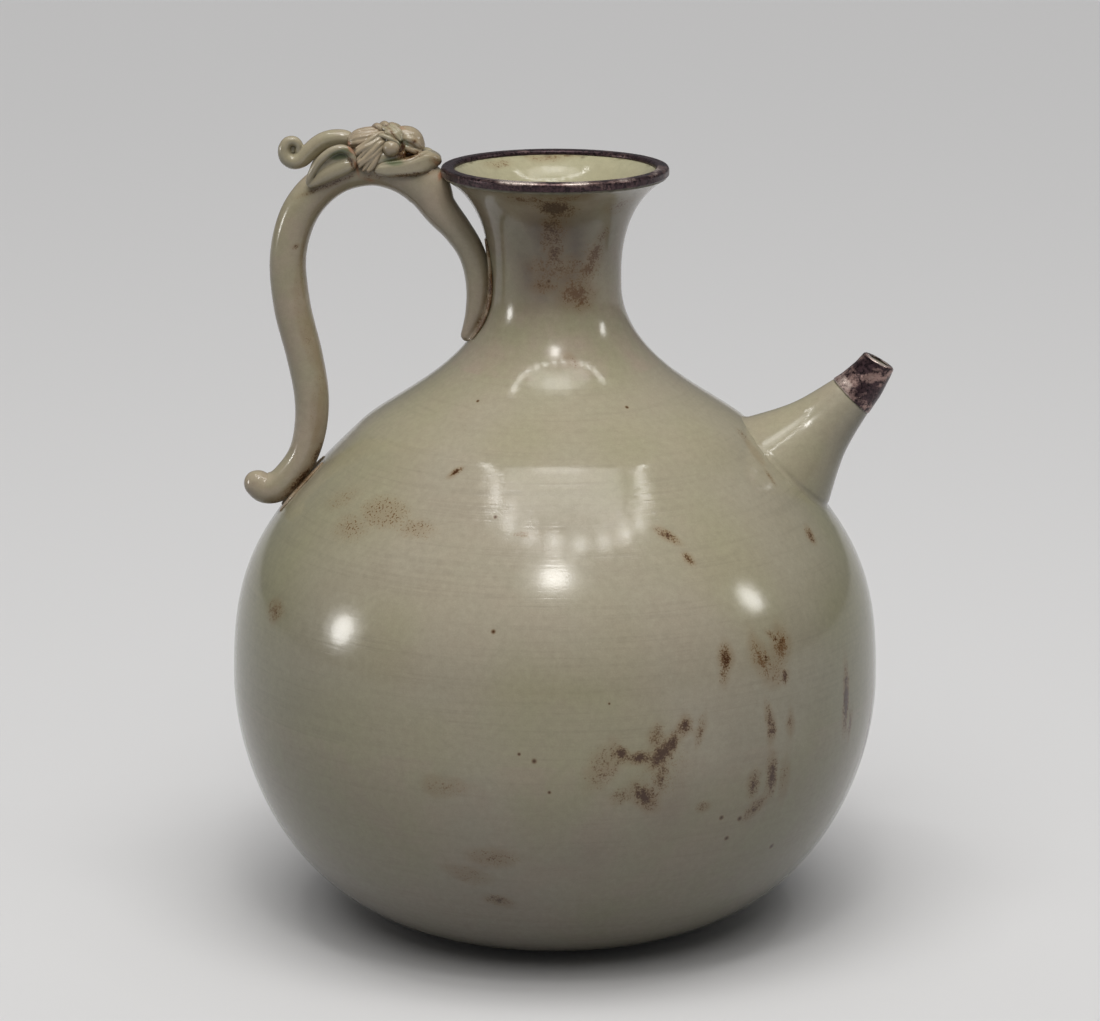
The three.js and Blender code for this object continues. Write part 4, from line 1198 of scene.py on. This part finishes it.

# Colours of the glaze and of what lies on it; the dark ones also paint shade
glazeColours = {
    "grey": (168, 160, 141), "green": (163, 157, 130), "warm": (171, 156, 138), "thin": (164, 141, 116),
    "blushAndLipShade": (107, 93, 81), "pool": (106, 114, 82), "lining": (176, 172, 140), "clay": (164, 118, 90),
    "paleRust": (136, 110, 74), "rust": (100, 66, 34), "paleStainAndShade": (120, 90, 54), "stainAndShade": (66, 35, 8),
    "dirtAndShade": (70, 46, 28),
}
metalColours = {
    "dark": (38, 28, 32), "tarnish": (84, 64, 68), "patch": (176, 146, 138), "worn": (226, 210, 200),
}
metalShare = 0.6

# Surface of the glaze, by kind of piece: how warm, how lined by the wheel, how thin over the clay
glazeLooks = {
    "bodyLower": {"warm": 0.55, "lines": 0.8, "thin": 0.0},
    "bodyUpper": {"warm": 0.25, "lines": 1.0, "thin": 0.0},
    "neckForm": {"warm": 0.85, "lines": 0.5, "thin": 0.0, "lining": 0.75},
    "spoutCone": {"warm": 0.35, "lines": 0.35, "thin": 0.0},
    "handleCoil": {"warm": 0.85, "lines": 0.0, "thin": 0.15, "coat": (0.4, 0.5)},
    "carved": {"warm": 0.5, "lines": 0.0, "thin": 0.1, "coat": (0.45, 0.2)},
    "carvedThin": {"warm": 0.7, "lines": 0.0, "thin": 0.4, "coat": (0.45, 0.2)},
}

# weight and roughness of the clear coat, where a look names none
plainCoat = (0.14, 0.34)
# strength and depth of the grain
grainDepth = {"glaze": (0.35, 0.0002), "metal": (0.6, 0.0004)}
# scale, detail and roughness of the noises
noises = {
    "broad": (15, 1, 0.5), "clouds": (62, 3, 0.6), "mottle": (380, 3, 0.6), "grain": (1700, 1, 0.5),
    "wheel": (1, 2, 0.55), "tear": (430, 5, 0.8), "fineTear": (1500, 2, 0.6), "wash": (120, 3, 0.5),
    "strewn": (1150, 2, 0.65), "patchy": (260, 3, 0.6), "blotch": (130, 3, 0.62), "scratch": (820, 4, 0.7),
    "streak": (1, 3, 0.5),
}
# stretches that turn a noise into lines round the pot
wheelStretch = (16, 16, 760)
streakStretch = (90, 90, 420)


def srgb(red, green, blue):
    def linear(value):
        value /= 255
        return value / 12.92 if value <= 0.04045 else ((value + 0.055) / 1.055) ** 2.4
    return linear(red), linear(green), linear(blue), 1.0


def noise(tree, spot, kind):
    scale, detail, roughness = noises[kind]
    node = put(tree, "ShaderNodeTexNoise", {
        "Vector": spot, "Scale": scale, "Detail": detail, "Roughness": roughness,
    })
    return Wire(tree, node.outputs[0])


def newMaterial(name):
    material = bpy.data.materials.new(name)
    material.use_nodes = True
    return material, material.node_tree, material.node_tree.nodes["Principled BSDF"]


def mixed(tree, share, first, second):
    node = put(tree, "ShaderNodeMix", {0: share, 6: first, 7: second}, data_type="RGBA")
    return Wire(tree, node.outputs[2])


def lit(tree, colour, level):
    node = put(tree, "ShaderNodeVectorMath", {0: colour, "Scale": level}, operation="SCALE")
    return Wire(tree, node.outputs[0])


def field(tree, name):
    return Wire(tree, put(tree, "ShaderNodeAttribute", attribute_name=name).outputs["Fac"])


# Shared look: grey-green glaze with clouds, wheel lines, pooled and thin places, stains, dirt, and painted
# shade in joints, in hollows, at the sides and on the neck
def makeGlazeTree():
    amounts = ("Warm", "Lines", "Thin", "Pool", "DirtAndShade", "Dark", "Rust", "Bare", "BlushAndLipShade", "Lining")
    tree, plugs, sink = newTree("celadonSkin", "ShaderNodeTree", [
        (name, "NodeSocketFloat", 0.0) for name in amounts
    ], [("Colour", "NodeSocketColor"), ("Roughness", "NodeSocketFloat"), ("Height", "NodeSocketFloat")])
    spot = put(tree, "ShaderNodeTexCoord").outputs["Object"]
    broad, clouds, mottle, grain = (
        noise(tree, spot, kind) for kind in ("broad", "clouds", "mottle", "grain"))
    stretched = put(tree, "ShaderNodeMapping", {"Vector": spot, "Scale": wheelStretch}).outputs[0]
    wheel = noise(tree, stretched, "wheel")
    line = wheel.over(0.5, 0.66) * plugs["Lines"] * clouds.scaled(0.35, 0.6, 0.35, 1.0)

    def coloured(under, share, name):
        return mixed(tree, share, under, srgb(*glazeColours[name]))

    colour = coloured(srgb(*glazeColours["grey"]), broad.over(0.36, 0.64), "green")
    colour = coloured(colour, plugs["Warm"] * clouds.over(0.3, 0.72), "warm")
    colour = coloured(colour, plugs["Thin"], "thin")
    # warmer, greyer blush, which on the front of the neck is painted shade under the lip
    colour = coloured(colour, plugs["BlushAndLipShade"].over(0.0, 0.9) * clouds.scaled(0.3, 0.6, 0.6, 0.95), "blushAndLipShade")
    # greener and darker towards the left and right as seen from the front: a glaze tint with painted shade
    across = Wire(tree, put(tree, "ShaderNodeSeparateXYZ", {0: spot}).outputs[0]).calc("ABSOLUTE")
    sides = (across + (clouds - 0.5) * 0.04).over(0.045, 0.13) * plugs["Lines"] * 0.34
    colour = coloured(colour, plugs["Pool"].calc("MAXIMUM", sides), "pool")
    colour = coloured(colour, plugs["Lining"], "lining")
    level = mottle.scaled(0.25, 0.75, 0.93, 1.06) * grain.scaled(0.2, 0.8, 0.95, 1.05) - line * 0.06
    bare = plugs["Bare"] * mottle.scaled(0.3, 0.6, 0.6, 1.0)
    colour = coloured(lit(tree, colour, level), bare, "clay")
    colour = coloured(colour, plugs["Rust"].over(0.0, 0.7) * 0.7, "paleRust")
    colour = coloured(colour, plugs["Rust"].over(0.4, 1.0) * 0.85, "rust")
    # dark marks: stains, and on the head and handle also painted shadow lines
    colour = coloured(colour, plugs["Dark"].over(0.0, 0.6) * 0.7, "paleStainAndShade")
    colour = coloured(colour, plugs["Dark"].over(0.35, 0.95) * 0.94, "stainAndShade")
    colour = coloured(colour, plugs["DirtAndShade"], "dirtAndShade")
    marked = (plugs["Dark"] + plugs["Rust"]).calc("MINIMUM", 1.0)
    rough = mottle.scaled(0.3, 0.7, 0.09, 0.15) + marked * 0.08 + bare * 0.4 + plugs["DirtAndShade"] * 0.35
    height = mottle * 0.2 + grain * 0.18 - line * 0.16 - bare * 0.2
    feed(tree, sink, {"Colour": colour, "Roughness": rough, "Height": height})
    return tree


glazeTree = makeGlazeTree()


def surfaceFrame(azimuth, height):
    # place, level direction and outward direction on the pot's face
    around = math.radians(azimuth)
    radius = radiusAt(height)
    row = np.searchsorted(outline[:, 1], height)
    step = outline[row] - outline[row - 8]  # the slope just below
    step = step / np.linalg.norm(step)
    normal = np.array([math.cos(around) * step[1], math.sin(around) * step[1], -step[0]])
    level = np.array([-math.sin(around), math.cos(around), 0])
    return np.array([math.cos(around) * radius, math.sin(around) * radius, height]), level, normal


def markField(points, rows):
    # 1 in the middle of a mark, 0 at its rim and below 0 beyond it
    best = np.full(len(points), -1.0)
    for azimuth, height, long, wide, turn, strength in rows:
        place, level, normal = surfaceFrame(azimuth, height)
        rise = np.cross(normal, level)
        angle = math.radians(turn)
        first = level * math.cos(angle) + rise * math.sin(angle)
        second = rise * math.cos(angle) - level * math.sin(angle)
        away = points - place
        shares = away @ first / long, away @ second / wide, away @ normal / markDepth
        reach = np.sqrt(shares[0] ** 2 + shares[1] ** 2 + shares[2] ** 2)
        best = np.maximum(best, (1 - reach) * np.where(reach < 1, strength, 1))
    return best


markFields = {"dark": darkMarks, "rust": rustMarks, "specks": speckFields, "blushAndLipShade": warmPatchesAndLipShade}
sideFields = {"dark": sideStainsAndShade, "rust": sideRust, "bare": sideBare, "hollow": sideHollow}


def sideField(points, rows):
    best = np.full(len(points), -1.0)
    for x, z, long, wide, turn, strength in rows:
        angle = math.radians(turn)
        across, up = points[:, 0] - x, points[:, 2] - z
        first = (across * math.cos(angle) + up * math.sin(angle)) / long
        second = (up * math.cos(angle) - across * math.sin(angle)) / wide
        reach = np.hypot(first, second) + np.clip(points[:, 1], 0, None) / sideDepth
        best = np.maximum(best, (1 - reach) * np.where(reach < 1, strength, 1))
    return best


def addMarks(mesh, rowsOf, measure):
    points = readPoints(mesh) / mm
    # a polyline through the points, run through a geometry tree and brought back as a plain mesh
    for name, rows in rowsOf.items():
        writeField(mesh, name, measure(points, rows))


def stainMasks(tree, spot):
    # the dark and rusty fields, torn by grain, in a faint wash
    torn = (noise(tree, spot, "tear") - 0.5) * 2.6 + (noise(tree, spot, "fineTear") - 0.5) * 2.0
    masks = {name: field(tree, name) * 1.4 + torn for name in ("dark", "rust")}
    wash = field(tree, "dark").calc("MAXIMUM", field(tree, "rust")) + (noise(tree, spot, "wash") - 0.5) * 1.2
    masks["rust"] = masks["rust"].calc("MAXIMUM", wash.over(-0.9, 0.6) * 0.42)
    return masks


def potMasks(tree, spot, low, high):
    # the stains, the pinholes between two heights, and the blushes with the neck's painted shade
    masks = stainMasks(tree, spot)
    dark = masks["dark"]
    for azimuth, height, radius in pinholes:
        if low < height < high:
            place = surfaceFrame(azimuth, height)[0] * mm
            gap = put(tree, "ShaderNodeVectorMath", {0: spot, 1: tuple(place)}, operation="DISTANCE")
            pin = Wire(tree, gap.outputs["Value"]) * (-1 / (radius * mm)) + 1.4
            dark = dark.calc("MAXIMUM", pin * 0.8)
    strewn = noise(tree, spot, "strewn").over(0.55, 0.66) * 0.7 + 0.3
    specks = (field(tree, "specks") * 2).clipped() * strewn
    return {
        "Dark": dark.clipped(),
        "Rust": masks["rust"].calc("MAXIMUM", specks).calc("MINIMUM", 1.0),
        "BlushAndLipShade": (field(tree, "blushAndLipShade") * 1.3).calc("MAXIMUM", 0.0),
    }


def carvedMasks(tree, spot, looks, seam, patchy):
    # hollows hold green glaze and go dark with dirt and painted shade, joints get dark lines of dirt and
    # painted shade, crests are thin, and bare clay shows at some joints
    fold = field(tree, "fold")
    masks = stainMasks(tree, spot)
    hollow = (field(tree, "hollow") * 1.6 + (patchy - 0.5) * 0.5).over(0.0, 0.7)
    pool = (fold.over(0.12, 0.7) * 0.45 + hollow).calc("MINIMUM", 1.0)
    creviceGrimeAndShade = (fold + (patchy - 0.5) * 0.4).over(0.3, 0.85) * 0.72
    line = (seam + (patchy - 0.5) * 0.5).over(0.78, 1.08) * 0.62
    clayLine = (seam + (patchy - 0.5) * 2.2).over(1.05, 1.4) * 0.6
    clay = (field(tree, "bare") * 1.6 + (patchy - 0.5) * 1.2).over(0.1, 0.7)
    return {
        "Dark": masks["dark"].clipped(),
        "Rust": masks["rust"].clipped(),
        "Pool": pool * 0.9,
        "DirtAndShade": creviceGrimeAndShade.calc("MAXIMUM", line),
        "Bare": clay.calc("MAXIMUM", clayLine),
        "Thin": ((fold * -1.0).over(0.1, 0.7) * 0.4 + looks["thin"]).calc("MINIMUM", 1.0),
    }


def glazeMaterial(name, looks, heights=None, carving=False, joints=True):
    material, tree, shader = newMaterial(name)
    skin = put(tree, "ShaderNodeGroup", node_tree=glazeTree)
    feed(tree, skin, {kind.title(): looks[kind] for kind in ("warm", "lines", "thin")})
    spot = put(tree, "ShaderNodeTexCoord").outputs["Object"]
    masks = potMasks(tree, spot, *heights) if heights else {}
    if "lining" in looks:
        # inside the mouth the glaze is thicker and greener
        inside = field(tree, "lining")
        masks["BlushAndLipShade"] = masks["BlushAndLipShade"] * (1 - inside)
        masks["Lining"] = inside * looks["lining"]
    if joints:
        # where pieces meet the glaze pools greener and goes darker, with dirt and painted shade
        seam = field(tree, "seam")
        patchy = noise(tree, spot, "patchy")
        masks["Pool"] = (seam + (patchy - 0.5) * 0.6).over(0.3, 0.95) * 0.4
        masks["DirtAndShade"] = (seam + (patchy - 0.5) * 1.3).over(0.72, 1.1) * 0.6
        if carving:
            masks.update(carvedMasks(tree, spot, looks, seam, patchy))
    feed(tree, skin, masks)
    grain = skin.outputs["Height"]
    strength, depth = grainDepth["glaze"]
    bump = put(tree, "ShaderNodeBump", {"Height": grain, "Strength": strength, "Distance": depth})
    weight, spread = looks.get("coat", plainCoat)
    feed(tree, shader, {
        "Base Color": skin.outputs["Colour"], "Roughness": skin.outputs["Roughness"],
        "Normal": bump.outputs[0], "Coat Weight": weight, "Coat Roughness": spread,
    })
    return material


# Shared look of the thin sheet metal: purple-brown tarnish, worn bright along its edges and at the marked
# spots, which on the band's front edge paint a highlight
def metalMaterial(name, patchShare):
    material, tree, shader = newMaterial(name)
    spot = put(tree, "ShaderNodeTexCoord").outputs["Object"]
    blotch = noise(tree, spot, "blotch")
    grain = noise(tree, spot, "scratch")
    stretched = put(tree, "ShaderNodeMapping", {"Vector": spot, "Scale": streakStretch}).outputs[0]
    streak = noise(tree, stretched, "streak")
    # marked bright spots: wear, and along the band's front top edge a painted highlight
    spots = field(tree, "bright")
    worn = field(tree, "fold") * -1.1 + (blotch - 0.5) * 1.4 + (grain - 0.5) * 0.8
    worn = (worn + (spots * 1.2).calc("MAXIMUM", 0.0) - 0.15).over(0.3, 0.85)
    patch = blotch + (grain - 0.5) * 0.5 + (streak - 0.5) * 0.5 + spots.calc("MAXIMUM", -0.2) * 0.4
    dark, tarnish, pale, bright = (srgb(*metalColours[name]) for name in ("dark", "tarnish", "patch", "worn"))
    colour = mixed(tree, grain.over(0.35, 0.65), dark, tarnish)
    colour = mixed(tree, patch.over(0.48, 0.68) * patchShare, colour, pale)
    colour = mixed(tree, worn * 0.9, colour, bright)
    rough = grain.scaled(0.3, 0.7, 0.22, 0.4) + worn * -0.04
    dents = blotch * 0.6 + grain * 0.4
    strength, depth = grainDepth["metal"]
    bump = put(tree, "ShaderNodeBump", {"Height": dents, "Strength": strength, "Distance": depth})
    feed(tree, shader, {
        "Base Color": colour, "Roughness": rough, "Metallic": metalShare, "Normal": bump.outputs[0],
    })
    return material


# Fields on the points: how near the next piece is, and how hollow the surface is
def averaged(numbers, ends):
    # mean of each point's neighbours along the mesh's edges
    total = np.zeros(numbers.shape)
    np.add.at(total, ends[:, 0], numbers[ends[:, 1]])
    np.add.at(total, ends[:, 1], numbers[ends[:, 0]])
    degree = np.bincount(ends.ravel(), minlength=len(numbers)).astype(float)
    return total / (degree[:, None] if numbers.ndim > 1 else degree)


def addFold(mesh, scale, rounds):
    # above 0 in hollows, below 0 on crests
    points = readPoints(mesh) / mm
    ends = pull(mesh.edges, "vertices", 2, np.int32)
    normals = pull(mesh.vertex_normals, "vector", 3)
    squares = np.linalg.norm(points[ends[:, 0]] - points[ends[:, 1]], axis=1) ** 2
    size = np.zeros(len(points))
    np.add.at(size, ends[:, 0], squares)
    np.add.at(size, ends[:, 1], squares)
    size /= np.bincount(ends.ravel(), minlength=len(points))
    bend = ((averaged(points, ends) - points) * normals).sum(1) / np.maximum(size, 1e-6) * 2
    for _ in range(rounds):
        bend = 0.5 * bend + 0.5 * averaged(bend, ends)
    writeField(mesh, "fold", np.clip(bend * scale, -1, 1))


def addSeam(name, others):
    # nearness to the other pieces, each with its reach and its weight
    mesh = shown[name][0]
    points = readPoints(mesh) / mm
    nearness = np.zeros(len(points))
    for other, (reach, weight) in others.items():
        tree, low, high = boxes[other]
        around = np.all((points > low - reach) & (points < high + reach), axis=1)
        for index in np.flatnonzero(around):
            gap = tree.find_nearest(Vector(points[index] * mm), reach * mm)[3]
            if gap is not None:
                nearness[index] = max(nearness[index], weight * (1 - gap / (reach * mm)))
    writeField(mesh, "seam", nearness)


def boxOf(mesh):
    points = readPoints(mesh) / mm
    faces = [tuple(face.vertices) for face in mesh.polygons]
    tree = BVHTree.FromPolygons([vertex.co for vertex in mesh.vertices], faces)
    return tree, points.min(0), points.max(0)


boxes = {name: boxOf(mesh) for name, (mesh, _, _) in shown.items()}
potPieces = ("bodyLower", "bodyUpper", "neckForm")
metalPieces = ("rimBand", "spoutSleeve")
carved = [name for name in shown if name not in potPieces + metalPieces + ("spoutCone", "handleCoil")]
# strength of the hollows and crests, and rounds of smoothing
folds = {"carved": (0.45, 5), "handle": (0.9, 3), "metal": (0.5, 2)}
for kind, names in (("carved", carved), ("handle", ["handleCoil"]), ("metal", metalPieces)):
    for name in names:
        addFold(shown[name][0], *folds[kind])
# reach and weight of each neighbour
neighbours = {
    **{name: {other: (1.3, 1) for other in carved + ["handleCoil"] if other != name} for name in carved},
    "handleCoil": {**{other: (1.5, 1) for other in carved}, "bodyUpper": (2, 0.9), "neckForm": (1.5, 0.9)},
    "bodyUpper": {"handleCoil": (4, 1), "spoutCone": (2.4, 0.62)},
    "neckForm": {"handleCoil": (3, 1), "rimBand": (6, 0.9)},
    "spoutCone": {"bodyUpper": (1.8, 0.55), "spoutSleeve": (2, 0.9)},
}
for name, others in neighbours.items():
    addSeam(name, others)
for name in potPieces:
    addMarks(shown[name][0], markFields, markField)
neckPoints = readPoints(shown["neckForm"][0]) / mm
neckDepth = [radiusAt(height) - math.hypot(x, y) for x, y, height in neckPoints]
# the lining begins halfway through the neck's wall
writeField(shown["neckForm"][0], "lining", np.array(neckDepth) > vessel["liningDepth"])
for name in carved + ["handleCoil"]:
    addMarks(shown[name][0], sideFields, sideField)
for name in metalPieces:
    addMarks(shown[name][0], {"bright": sideWearAndHighlight}, sideField)
print("seams, hollows and stains marked")

# the skull is left out, so it takes the greener glaze, partly as painted shade under the eye
thinNames = ("dragonSnout", "topknot", "crownLobe", "eyeNear", "eyeFar", "maneTuftNear", "maneTuftFar")
belly = vessel["bellyHeight"]
materials = {
    "bodyLower": glazeMaterial("glazeBelly", glazeLooks["bodyLower"], (0, belly), joints=False),
    "bodyUpper": glazeMaterial("glazeShoulder", glazeLooks["bodyUpper"], (belly, neckSeam)),
    "neckForm": glazeMaterial("glazeNeck", glazeLooks["neckForm"], (neckSeam, lipTop)),
    "spoutCone": glazeMaterial("glazeSpout", glazeLooks["spoutCone"]),
    "handleCoil": glazeMaterial("glazeHandle", glazeLooks["handleCoil"], carving=True),
    "carved": glazeMaterial("glazeCarved", glazeLooks["carved"], carving=True),
    "carvedThin": glazeMaterial("glazeThin", glazeLooks["carvedThin"], carving=True),
}
materials["rimBand"] = metalMaterial("tarnishedBand", 0.4)
materials["spoutSleeve"] = metalMaterial("tarnishedSleeve", 0.9)


def materialFor(name):
    if name in materials:
        return materials[name]
    return materials["carvedThin" if name in thinNames else "carved"]


matchSeam("bodyLower", "bodyUpper", belly)
matchSeam("bodyUpper", "neckForm", neckSeam)
for name, (mesh, nodes, slot) in shown.items():
    mesh.materials.clear()
    mesh.materials.append(materialFor(name))
    piece = stand(name, mesh)
    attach(piece, "root")
    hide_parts(*nodes)
print("glazed and placed")


# Floor and world
def makeFloor():
    half = room["floorSize"] / 2 * mm
    data = bpy.data.meshes.new("floor")
    corners = [(-half, -half, 0), (half, -half, 0), (half, half, 0), (-half, half, 0)]
    data.from_pydata(corners, [], [(0, 1, 2, 3)])
    floor = stand("floor", data)
    material, tree, shader = newMaterial("paleFloor")
    path = put(tree, "ShaderNodeLightPath").outputs
    # the floor is pale to look at and darker for the light that bounces off it
    seen = Wire(tree, path["Is Camera Ray"]) + path["Is Glossy Ray"]
    seen = (seen + path["Is Transmission Ray"]).calc("MINIMUM", 1.0)
    colour = mixed(tree, seen, (*room["floorBounce"], 1), (*room["floorColour"], 1))
    feed(tree, shader, {
        "Base Color": colour, "Roughness": room["floorRoughness"], "Specular IOR Level": room["floorShine"],
    })
    data.materials.append(material)


makeFloor()
world = bpy.data.worlds.new("studio")
world.use_nodes = True
feed(world.node_tree, world.node_tree.nodes["Background"], {
    "Color": (*room["worldColour"], 1), "Strength": room["worldLevel"],
})
bpy.context.scene.world = world
bpy.context.scene.view_settings.view_transform = "Standard"
print("floor and world set")
